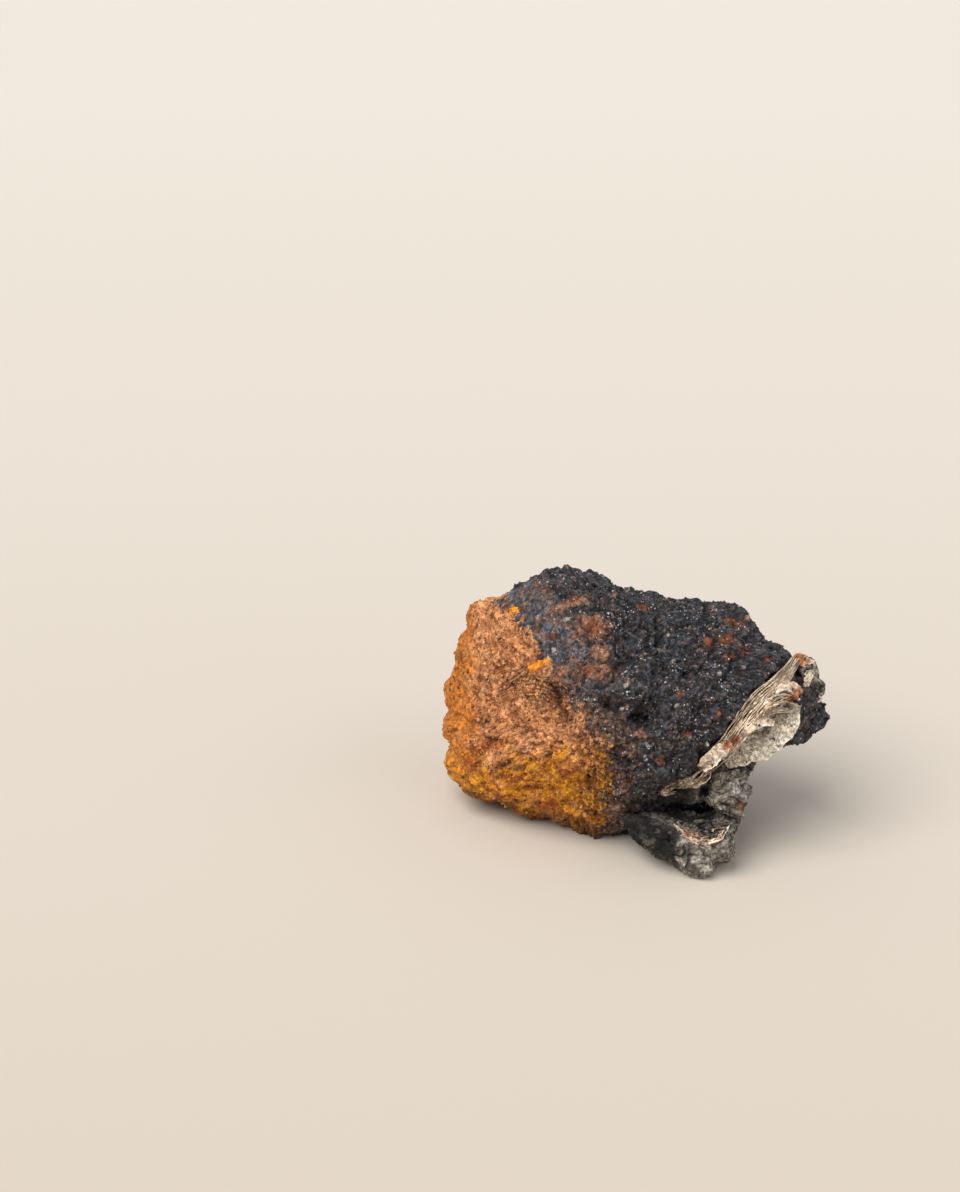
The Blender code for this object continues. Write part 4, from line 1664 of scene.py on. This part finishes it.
@dataclass
class BarkSheet:
    """A torn sheet of bark: a thin closed shell along a path, dished, twisted, and ragged at its edges."""

    stations: Stations
    # How deep it is dished, as a share of its half width, and how far it is twisted, in radians.
    curl: float
    twist: float
    seed: int
    ragged: float = 0.18
    # Rolls the rim back by this height, in millimetres, over the outer part of the width.
    rolled: float = 0.0
    # How deep the sheet sinks between the middle and its upper edge, and from which share of its length; the
    # sunk part is also painted dark as shade.
    sunk: float = 0.0
    sunk_from: float = 0.3
    stain_at: Pair = (0.0, 99.0)
    stain_size: float = 1.6
    tone: float = 0.5
    rings: int = 120
    sides: int = 40

    def profile(self) -> tuple[Array, Array]:
        """Return across and out round a blunt oval: a circle's cosine and sine, to a power below 1."""
        angle = np.arange(self.sides) * TURN / self.sides
        cosine, sine = np.cos(angle), np.sin(angle)
        return np.sign(cosine) * np.abs(cosine) ** 0.8, np.sign(sine) * np.abs(sine) ** 0.6

    def widths(self, rows: Array, along: Array, ends: Array) -> Array:
        """Work out how far each point lies across the path: the half width, torn by noise on either side.

        Args:
            rows: The path's rows.
            along: Places along it, counted in stations.
            ends: From 0 at the sheet's ends to 1.

        Returns:
            A distance for each ring and side.
        """
        cosine = self.profile()[0][None]
        edge = np.stack([along * 4, np.zeros(self.rings), np.zeros(self.rings)], axis=1)
        left = 1 + self.ragged * fractal(edge, 2.2, self.seed)
        right = 1 + self.ragged * fractal(edge + 50, 2.2, self.seed)
        width = rows[:, 3, None] * np.where(cosine < 0, left[:, None], right[:, None])
        return width * cosine * (0.85 + 0.15 * ends[:, None])

    def dips(self, wide: Array, along: Array, share: Array) -> Array:
        """Return how the sheet sinks, from 0 to 1: a bell across it, a step along it, rippled by a sine."""
        across = np.exp(-(((self.profile()[0] + 0.4) / 0.42) ** 2))[None]
        dip = across * step(self.sunk_from, self.sunk_from + 0.25, share)[:, None]
        return dip * (0.75 + 0.25 * np.sin(TURN * (2.5 * wide + 1.5 * along[:, None])))

    def surface(self) -> Surface:
        """Build the sheet: a blunt oval profile, carried along the path, dished as the square of the width.

        Returns:
            The surface in metres, with its masks.
        """
        stations = np.array(self.stations, float)
        last = len(stations) - 1
        share = (1 - np.cos(np.linspace(0, math.pi, self.rings))) / 2
        along = share * last
        rows, _, across, out = ribbon_frames(stations, along)
        turn = self.twist * (along / last - 0.5)
        side = across * np.cos(turn)[:, None] + out * np.sin(turn)[:, None]
        face = out * np.cos(turn)[:, None] - across * np.sin(turn)[:, None]
        cosine, sine = self.profile()
        ends = np.sqrt(np.clip(np.minimum(share, 1 - share) / 0.03, 0.0025, 1))
        wide = self.widths(rows, along, ends)
        rise = rows[:, 4, None] * sine[None] * ends[:, None]
        rise = rise + self.curl * (wide ** 2 / np.maximum(rows[:, 3, None], 0.3) - rows[:, 3, None] / 2)
        rise = rise + self.rolled * step(0.6, 1.0, np.abs(cosine[None]) * np.ones_like(wide))
        dip = self.dips(wide, along, share)
        rise = rise - self.sunk * dip
        rings = rows[:, None, :3] + side[:, None] * wide[..., None] + face[:, None] * rise[..., None]
        points, faces = closed_tube(rings)
        outward = np.concatenate([np.repeat(face, self.sides, axis=0), face[[0, -1]]])
        outward = outward * np.concatenate([np.tile(sine, self.rings), [0, 0]])[:, None]
        relief = 0.28 * fractal(points, 2.4, self.seed + 3) + 0.16 * ridges(points, 0.9, self.seed + 5)
        points = points + outward * relief[:, None]
        sheet = [np.tile(cosine * 7, self.rings), np.repeat(along, self.sides)]
        layers = smooth_noise(np.stack([*sheet, np.zeros(len(sheet[0]))], axis=1), self.seed + 6)
        stain = bell(points, *self.stain_at, self.stain_size, self.stain_size, 0)
        # Painted shade in the low places of the relief and where the sheet sinks.
        sunk = np.append(dip.ravel(), [0, 0]) * min(self.sunk, 1)
        masks = {
            "layer": np.concatenate([np.clip(self.tone + 0.5 * layers, 0, 1), [self.tone] * 2]),
            "stain": np.clip(1.5 * stain, 0, 1),
            "hollow": np.clip(0.5 * step(0.9, 1.6, -relief * 3) + sunk * 0.5, 0, 1),
            "lichen": step(0.2, 0.6, fractal(points, 4, self.seed + 8)),
            "fleck": step(0.45, 0.7, fractal(points, 1.5, self.seed + 9)),
        }
        return Surface(on_ground(VIEW.place(points)), faces, masks)


@dataclass
class BarkSlab:
    """A thick piece of bark: a rounded solid whose layers run along it, broken across into a rough face."""

    form: Lump
    seed: int
    # The way across the layers, and the way that clefts run.
    layer_way: Way
    cleft_way: Way
    # In millimetres: the distance between layers, their height, that of the lumps, and the clefts' depth.
    layer_spacing: float = 1.1
    layer_height: float = 0.6
    lump_height: float = 1.1
    cleft_depth: float = 1.0
    patch_count: int = 84

    def dress(self, seen: Array, masks: dict[str, Array]) -> None:
        """Mark what only this slab has. Each kind of slab does it in its own way."""

    def surface(self) -> Surface:
        """Build the slab: layers are ridges of noise stretched along them, lumps and clefts lie on top.

        Returns:
            The surface in metres, with its masks.
        """
        ways, faces = cube_ball(self.patch_count)
        reach = self.form.reach(ways)
        seen = ways * reach[:, None] + np.array(self.form.centre)
        height = seen @ (np.array(self.layer_way) / np.linalg.norm(self.layer_way))
        wobble = 0.9 * fractal(seen, 7, self.seed) + 0.25 * fractal(seen, 1.8, self.seed + 2)
        across = np.stack([(height + wobble) / self.layer_spacing, *(seen / 16).T[:2]], axis=1)
        layers = smooth_noise(across, self.seed + 3)
        moved = seen + 0.5 * smooth_noise(seen / 2, self.seed + 4)[:, None]
        cells = scattered_cells(moved, 2.6, self.seed + 5)
        small = scattered_cells(seen, 1.2, self.seed + 6)
        cleft_way = np.array(self.cleft_way) / np.linalg.norm(self.cleft_way)
        along = (seen @ cleft_way)[:, None] * cleft_way
        cleft = 1 - step(0.0, 0.16, np.abs(smooth_noise((seen - 0.8 * along) / 3.2, self.seed + 7)))
        cleft *= step(-0.15, 0.25, smooth_noise(seen / 7, self.seed + 8))
        lift = self.layer_height * layers + self.lump_height * (0.5 - cells.nearest)
        lift += 0.35 * self.lump_height * (0.5 - small.nearest) - self.cleft_depth * cleft
        masks = {
            "layer": np.clip(0.5 + 0.9 * layers, 0, 1),
            # Painted shade in the clefts.
            "hollow": np.clip(0.85 * cleft, 0, 1),
            "stain": np.zeros(len(seen)),
            "lichen": np.zeros(len(seen)),
            "fleck": step(0.5, 0.75, fractal(seen, 1.8, self.seed + 9)),
            "lift": lift,
        }
        self.dress(seen, masks)
        lift = masks.pop("lift")
        return Surface(self.form.world(ways, reach + lift), faces, masks)


@dataclass
class MiddleSlab(BarkSlab):
    """The lichen-covered slab under the strip."""

    form: Lump = SLAB_MIDDLE
    seed: int = 661
    layer_way: Way = (0, 1, 0.3)
    cleft_way: Way = (0.2, 1, 0.2)
    # The folds spread like rays from this place, right and up.
    fold_centre: Pair = (24.0, -27.0)
    fold_height: float = 1.6
    hollow_depth: float = 2.2

    def dress(self, seen: Array, masks: dict[str, Array]) -> None:
        """Mark folds and scales, lichen to the right, a hollow with threads, and a fibrous left end, with
        painted shade in the fold troughs, the seams, the hollow and the left end, which lies under the
        strip's tail.

        Args:
            seen: Points in the view's directions.
            masks: The masks and the lift, which are changed.
        """
        right, up = seen[:, 0], seen[:, 1]
        away = up - self.fold_centre[1]
        beside = right - self.fold_centre[0]
        rays = [3.2 * np.arctan2(away, beside) + 0.5 * fractal(seen, 4, 709, 2), np.hypot(away, beside) / 10]
        folds = ridges(np.stack([*rays, seen[:, 2] / 12], axis=1), 1.0, 703) * step(24, 29, right)
        scales = scattered_cells(seen + 0.6 * smooth_noise(seen / 2, 733)[:, None], 2.4, 735)
        hollow = bell(seen, 25.5, -25.5, 3.0, 2.2, 60) * step(2, 8, seen[:, 2])
        threads = ridges(seen * np.array([1, 0.2, 0.6]), 1.1, 705)
        end = up + 0.25 * (right - 20)
        masks["lift"] += self.fold_height * folds + 0.4 * fractal(seen, 2.2, 731, 3)
        masks["lift"] -= self.hollow_depth * hollow
        # Painted shade in the fold troughs, the seams between scales, the hollow with its threads, and the
        # left end under the strip's tail.
        masks["hollow"] = strongest([
            masks["hollow"],
            0.9 * step(0.15, 0.7, -folds),
            0.8 * (1 - step(0.03, 0.12, scales.seam)) * step(23, 27, right),
            step(0.3, 0.8, hollow + 0.25 * threads - 0.1),
            0.75 * step(25, 22, right) * step(-22, -24.5, end),
        ])
        layer = np.clip(masks["layer"] + 0.8 * (scales.number - 0.5), 0, 1)
        masks["layer"] = np.clip(layer + 0.5 * step(-22, -27, up), 0, 1)
        masks["lichen"] = step(0.25, 0.5, bell(seen, 35.3, -24.4, 2.6, 2.2, 0) + 0.3 * fractal(seen, 2, 701))
        masks["stain"] = step(0.3, 0.7, bell(seen, 36.5, -29.0, 2.6, 1.8, 0) + 0.2 * fractal(seen, 2, 707))
        # Dark flecks, thick at the left end, where they add painted shade under the strip's tail.
        masks["fleck"] = np.maximum(masks["fleck"], 0.9 * step(24.5, 20, right) * step(-21, -23, end))


@dataclass
class LowerSlab(BarkSlab):
    """The lowest slab, whose tip touches the ground."""

    form: Lump = SLAB_LOWER
    seed: int = 671
    layer_way: Way = (0.1, 1, 0.4)
    cleft_way: Way = (0.15, 1, 0.1)
    layer_spacing: float = 1.0
    layer_height: float = 0.5
    lump_height: float = 1.0
    # The near edge between top and face is bent: it is lowest at this place, and rises to either side.
    bend_at: Pair = (26.0, -38.5)
    bend_rise: float = 0.38

    def dress(self, seen: Array, masks: dict[str, Array]) -> None:
        """Mark pale torn layers on the near edge, plates on top with painted shade in their seams, a grey
        face and a dark lumpy underside.

        Args:
            seen: Points in the view's directions.
            masks: The masks and the lift, which are changed.
        """
        right, up = seen[:, 0], seen[:, 1]
        near_edge = up - (self.bend_at[1] + self.bend_rise * np.abs(right - self.bend_at[0]))
        band = step(2.0, 0.6, np.abs(near_edge - 0.8)) * step(6, 12, seen[:, 2])
        face = step(0.3, -1.0, near_edge + 0.8 * fractal(seen, 2.4, 711)) * step(14, 20, right)
        top = step(-0.5, 1.0, near_edge)
        under = step(0.3, -1.5, near_edge) * step(20, 12, right)
        plates = scattered_cells(seen + 0.8 * smooth_noise(seen / 3, 717)[:, None], 2.6, 719)
        bumps = scattered_cells(seen + 0.8 * smooth_noise(seen / 2, 723)[:, None], 2.2, 725)
        masks["lift"] += 0.8 * ridges(seen * np.array([0.25, 1, 1]), 1.3, 715) * band
        masks["lift"] += top * (1.4 * (plates.number - 0.5) + 0.5 * fractal(seen, 1.6, 721))
        masks["lift"] += under * (1.3 * (0.5 - bumps.nearest) + 0.5 * fractal(seen, 1.5, 727))
        masks["layer"] = strongest([
            np.clip(0.12 * masks["layer"] + 0.9 * band, 0, 1),
            0.65 * face,
            0.9 * top * step(0.55, 0.75, plates.number) * step(20, 24, right),
            0.5 * under * step(0.7, 0.8, bumps.number),
        ])
        masks["lichen"] = step(0.25, 0.6, face * (0.45 + 0.45 * fractal(seen, 2.6, 713)))
        masks["stain"] = np.maximum(0.8 * bell(seen, 24, -38.5, 4.5, 0.9, -22), masks["stain"])
        # Painted shade in the seams between the plates on top.
        masks["hollow"] = np.maximum(masks["hollow"], top * (1 - step(0.03, 0.12, plates.seam)))
        masks["fleck"] = masks["fleck"] * (1 - band)


@dataclass
class HookCore(BarkSlab):
    """The lump inside the curled hook."""

    form: Lump = HOOK
    seed: int = 651
    layer_way: Way = (0.3, 1, 0.2)
    cleft_way: Way = (0.2, 1, 0)
    layer_spacing: float = 1.2
    layer_height: float = 0.25
    lump_height: float = 0.35
    cleft_depth: float = 0.4
    patch_count: int = 36
    # How far it lies back behind its curls.
    set_back: float = 0.9

    def dress(self, seen: Array, masks: dict[str, Array]) -> None:
        """Mark the core dark, and draw it back from its curls."""
        masks["fleck"] = 0.4 + 0.6 * step(-0.4, 0.2, fractal(seen, 2, 721))
        masks["hollow"] = np.maximum(masks["hollow"], 0.55 * step(0.2, -0.3, fractal(seen, 3, 723)))
        masks["lift"] -= self.set_back


# The studio


def stand(piece: bpy.types.Object, axes: Array, place: Array) -> None:
    """Put a lamp or camera at a place in metres, its own axes along the given rows."""
    piece.matrix_world = Matrix([[*row, place[k]] for k, row in enumerate(axes.T)] + [[0, 0, 0, 1]])


@dataclass(frozen=True)
class Sun:
    """A distant light: where it shines from, its breadth in the sky in radians, its power and colour."""

    name: str
    place: Way
    breadth: float
    power: float
    colour: Colour = (1.0, 1.0, 1.0)

    def build(self) -> None:
        """Add the light."""
        light = bpy.data.lights.new(self.name, "SUN")
        light.angle = self.breadth
        light.energy = self.power
        light.color = self.colour
        away = unit_rows(np.array(self.place))
        right = unit_rows(np.cross([0.0, 0.0, 1.0], away))
        stand(in_scene(self.name, light), np.stack([right, np.cross(away, right), away]), self.place)


@dataclass(frozen=True)
class Studio:
    """The table top and the lights, and the camera where the photograph was taken from."""

    floor_breadth: float = 6.0
    # The table's colour near the camera and far away: a painted falloff of light, darker in front.
    floor_near: Colour = paint(212, 200, 186)
    floor_far: Colour = paint(228, 221, 211)
    sky: Colour = paint(250, 250, 252)
    sky_strength: float = 0.46
    # A broad key light from the upper left and a soft one from the right.
    suns: tuple[Sun, ...] = (
        Sun("key", (-0.44, -0.46, 0.95), 0.85, 2.45, (1.0, 0.985, 0.95)),
        Sun("fill", (0.80, -0.35, 0.50), 1.0, 0.45),
    )
    distance: float = 1.6
    sensor_width: float = 36.0
    # The picture's middle, right of and above the lump's, and its width at the lump, in millimetres.
    aim: Pair = (-40.5, 32.7)
    picture_width: float = 288.0

    def build_floor(self) -> None:
        """Add a large flat table top, painted darker towards the camera and lighter at its far end."""
        half = self.floor_breadth / 2
        corners = np.array([[-half, -half, 0], [half, -half, 0], [half, half, 0], [-half, half, 0]])
        material, w, shader = new_finish("table")
        away = w.add("ShaderNodeSeparateXYZ", {"Vector": w.place()}).outputs["Y"]
        reach = {"Value": away, "From Min": -0.35, "From Max": 0.62}
        share = w.add("ShaderNodeMapRange", reach).outputs["Result"]
        colour = w.blend(share, self.floor_near, self.floor_far)
        w.feed(shader, {"Base Color": colour, "Roughness": 0.75, "Specular IOR Level": 0.15})
        Surface(corners, np.array([[0, 1, 2], [0, 2, 3]])).to_object("table_top", material)

    def build_sky(self) -> None:
        """Add the pale world."""
        world = bpy.data.worlds.new("studio")
        world.use_nodes = True
        bpy.context.scene.world = world
        background = world.node_tree.nodes["Background"]
        background.inputs["Color"].default_value = (*self.sky, 1.0)
        background.inputs["Strength"].default_value = self.sky_strength

    def build_camera(self) -> None:
        """Add the camera, looking down at the photograph's angle, aimed beside the lump as in the picture."""
        lens = bpy.data.cameras.new("camera")
        lens.sensor_fit = "HORIZONTAL"
        lens.sensor_width = self.sensor_width
        lens.lens = self.sensor_width * self.distance / (self.picture_width * MM)
        lens.clip_end = 20
        right, up, front = VIEW.axes
        place = (np.array(VIEW.middle) + right * self.aim[0] + up * self.aim[1]) * MM + front * self.distance
        camera = in_scene("camera", lens)
        stand(camera, VIEW.axes, place)
        bpy.context.scene.camera = camera

    def build(self) -> None:
        """Build it all. Colours go to the screen as they are."""
        self.build_floor()
        self.build_sky()
        for sun in self.suns:
            sun.build()
        self.build_camera()
        bpy.context.scene.view_settings.view_transform = "Standard"


# The pieces of bark


STRIP = LeafBundle(
    stations=(
        (53.5, 14.5, 8, 1.4, 3.0), (50.3, 10.3, 14, 1.6, 3.5), (47, 6.6, 19.5, 2.2, 4),
        (43.2, 3, 23, 2.8, 4.2), (39.7, -1, 25, 3.3, 4.3), (36.6, -5.2, 25.5, 3.0, 4.3),
        (33.4, -9.6, 25, 2.7, 4.3), (29.6, -13.9, 23.5, 2.4, 4.2), (25, -18.5, 21.5, 2.0, 4),
    ),
    leaf_count=17, seed=71, breadth=1.08, depth=4.6, tilt=0.7, tones=(0.0, 0.5), recessed_share=0.15,
    short=0.2, stain_at=(34.2, -9.6), stain_size=2.0, rings=200, sides=10,
)
TAIL = LeafBundle(
    stations=(
        (28, -15.5, 24, 2.2, 1.5), (25, -19.0, 22.5, 2.5, 1.5), (21.4, -21.5, 22, 2.5, 1.5),
        (17.5, -23.2, 22, 2.0, 1.4), (13, -25.2, 21, 1.2, 1.2),
    ),
    leaf_count=16, seed=73, depth=2.4, tones=(-0.4, 0.35), short=0.45, sway=0.7,
)
FAN = (
    LeafBundle(
        stations=(
            (41, -1, 26, 1.0, 2.4), (45.0, 1.8, 25, 1.5, 2.4), (49.0, 3.0, 23.5, 1.5, 2.2),
            (53, 1.6, 21, 1.3, 2),
        ),
        leaf_count=8, seed=75, depth=3.0, tones=(0.0, 0.5), short=0.2, sway=0.4, stain_at=(51, 2.6),
        stain_size=1.9,
    ),
    LeafBundle(
        stations=(
            (38.5, -4, 26, 0.6, 2.4), (43.2, -1.7, 24.5, 0.7, 2.2), (46.8, -0.9, 23, 0.7, 2),
            (50, -0.9, 21, 0.5, 2),
        ),
        leaf_count=4, seed=77, depth=2.6, tones=(0.1, 0.5), short=0.2, sway=0.3,
    ),
)
LOWER_EDGE = LeafBundle(
    stations=(
        (16.1, -33.9, 19, 0.9, 1), (19.1, -36.6, 21, 1.0, 1), (22.6, -38.8, 23, 1.1, 1),
        (26.7, -39.2, 24, 1.2, 1), (30.9, -37.2, 23, 1.1, 1), (34, -34, 20, 0.7, 1),
    ),
    leaf_count=10, seed=83, depth=2.0, breadth=1.4, tones=(0.0, 0.8), short=0.6, sway=0.8,
    stain_at=(20.5, -37.2), stain_size=1.2,
)
LEAF_SHEETS = (
    BarkSheet(
        stations=(
            (37.6, -7.2, 28.0, 0.7, 0.4), (40.2, -5.2, 27.8, 1.3, 0.5), (43.0, -4.2, 27.0, 1.3, 0.5),
            (45.8, -4.9, 25.5, 0.8, 0.4),
        ),
        curl=0.6, twist=0.5, seed=101, ragged=0.2, tone=0.0,
    ),
    BarkSheet(
        stations=(
            (46.0, 4.6, 26.5, 0.8, 0.4), (48.6, 6.2, 25.0, 1.2, 0.5), (51.3, 5.8, 23.5, 1.7, 0.5),
            (53.4, 3.4, 22.0, 1.5, 0.4),
        ),
        curl=0.7, twist=0.8, seed=103, ragged=0.25, stain_at=(52.8, 3.8), stain_size=1.7, tone=0.4,
    ),
    BarkSheet(
        stations=(
            (32.8, -9.9, 29.6, 1.2, 0.5), (30.4, -12.4, 29.0, 2.0, 0.6), (27.4, -15.0, 27.9, 2.3, 0.6),
            (24.4, -17.9, 26.0, 1.6, 0.5),
        ),
        curl=0.8, twist=0.3, seed=105, ragged=0.25, sunk=1.0, sunk_from=0.2, stain_at=(32.0, -11.0),
        stain_size=1.5, tone=0.1, rings=140, sides=48,
    ),
)
FLAP = BarkSheet(
    stations=(
        (32, -16.8, 16.5, 1.8, 1.0), (34.8, -14.8, 17.5, 3.2, 1.1), (39, -12.2, 18.5, 4.6, 1.1),
        (43.9, -8.9, 19, 5.3, 1.0), (48.6, -3.8, 18.5, 4.8, 0.9), (52.2, 1.2, 15.5, 2.4, 0.8),
    ),
    curl=0.1, twist=0.1, seed=81, ragged=0.18, rolled=0.5, sunk=1.4, sunk_from=0.35, tone=0.1,
    rings=260, sides=96,
)
HOOK_SHEETS = (
    BarkSheet(
        stations=(
            (50.3, 9.1, 14, 0.8, 0.6), (51.5, 12.4, 12, 1.3, 0.7), (53.6, 14.0, 10.5, 1.6, 0.8),
            (55.9, 13.3, 10, 1.8, 0.8), (57.4, 11.2, 9.5, 1.6, 0.7), (57.6, 8.5, 8.5, 1.0, 0.5),
        ),
        curl=0.2, twist=0.6, seed=91, ragged=0.25, stain_at=(53.6, 13.8), stain_size=2.6, tone=0.6,
        rings=110, sides=36,
    ),
    BarkSheet(
        stations=(
            (56.6, 10.8, 10.5, 1.2, 0.4), (56.4, 8.4, 11.0, 1.3, 0.4), (55.8, 6.4, 11.0, 0.8, 0.3),
            (55.0, 4.8, 9.8, 0.4, 0.2),
        ),
        curl=0.4, twist=1.1, seed=93, ragged=0.6, tone=0.3, rings=80, sides=36,
    ),
    BarkSheet(
        stations=((57.5, 7.2, 8, 0.9, 0.7), (59.2, 4.2, 8, 1.6, 0.8), (59.4, 1.2, 7, 1.0, 0.6)),
        curl=0.2, twist=0.8, seed=95, ragged=0.3, tone=1.0, rings=80, sides=36,
    ),
)


# Building


def finish_piece(surface: Surface, name: str, material: bpy.types.Material, node: str) -> None:
    """Make a piece with its finish, hang it under the root, and hide the solid that it replaces.

    Args:
        surface: Its shape, in metres.
        name: Its name.
        material: Its finish.
        node: The solid.
    """
    piece = surface.to_object(name, material)
    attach(piece, "root")
    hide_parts(node)
    LOG.info("%s: %d triangles", name, len(surface.faces))


def build_chaga(material: bpy.types.Material) -> None:
    """Build the fungus, with its grains and splinters as pieces of their own.

    Args:
        material: The finish of them all.
    """
    body = ChagaMass().surface()
    finish_piece(body, "chaga_body", material, "chaga_mass")
    inside = body.masks["inside"]
    # Grains are fewer on the blue-grey stretch, and crumbs in hollows and on the smooth orange rim.
    rough = (1 - inside) * (1 - 0.7 * body.masks["grey"])
    grains = Grains(count=7600, size=0.26, spread=0.42, sunk=0.85, seed=51)
    finish_piece(grains.scatter(body, rough), "crust_grains", material, "chaga_mass")
    crumbly = inside * (1 - 0.7 * body.masks["hollow"]) * (1 - 0.8 * body.masks["orange"])
    crumbs = Grains(count=6800, size=0.26, spread=0.42, sunk=0.75, seed=53)
    finish_piece(crumbs.scatter(body, crumbly), "inside_crumbs", material, "chaga_mass")
    seen = (body.points / MM - np.array(VIEW.middle)) @ VIEW.axes.T
    # Splinters stand thick round one torn place, and thin where the face comes nearest to the eye.
    torn = bell(seen, -23, 1, 9, 7, 40) + 0.08 * step(10, 18, seen[:, 2])
    splinters = Splinters().scatter(body, inside * torn)
    finish_piece(splinters, "inside_splinters", material, "chaga_mass")


def build_bark(finishes: dict[Bark, bpy.types.Material]) -> None:
    """Build the bark: the layered strip with its leaves, the flap, the hook and the two slabs.

    Args:
        finishes: The material of each kind of bark.
    """
    cream = finishes[Bark.CREAM]
    grey = finishes[Bark.GREY]
    tail = TAIL.laid_on(MASS, 3.0)
    strip = join([STRIP.surface(), tail.surface(), *(leaf.surface() for leaf in FAN + LEAF_SHEETS)])
    curls = join([sheet.surface() for sheet in HOOK_SHEETS])
    edge = LOWER_EDGE.laid_on(SLAB_LOWER, 1.0).surface()
    finish_piece(strip, "bark_strip", cream, "bark_strip_upper")
    finish_piece(FLAP.surface(), "bark_flap", finishes[Bark.PALE], "bark_flap_right")
    finish_piece(HookCore().surface(), "bark_hook_core", grey, "bark_hook_top")
    finish_piece(curls, "bark_hook_curls", cream, "bark_hook_top")
    finish_piece(MiddleSlab().surface(), "bark_middle", grey, "bark_slab_middle")
    finish_piece(LowerSlab().surface(), "bark_lower", finishes[Bark.DARK], "bark_slab_lower")
    finish_piece(edge, "bark_lower_edge", cream, "bark_slab_lower")


def main() -> None:
    """Build the studio and every piece in order."""
    logging.basicConfig(level=logging.INFO)
    Studio().build()
    build_chaga(ChagaFinish().material())
    build_bark({bark: bark.value.material() for bark in Bark})


if __name__ == "__main__":
    main()
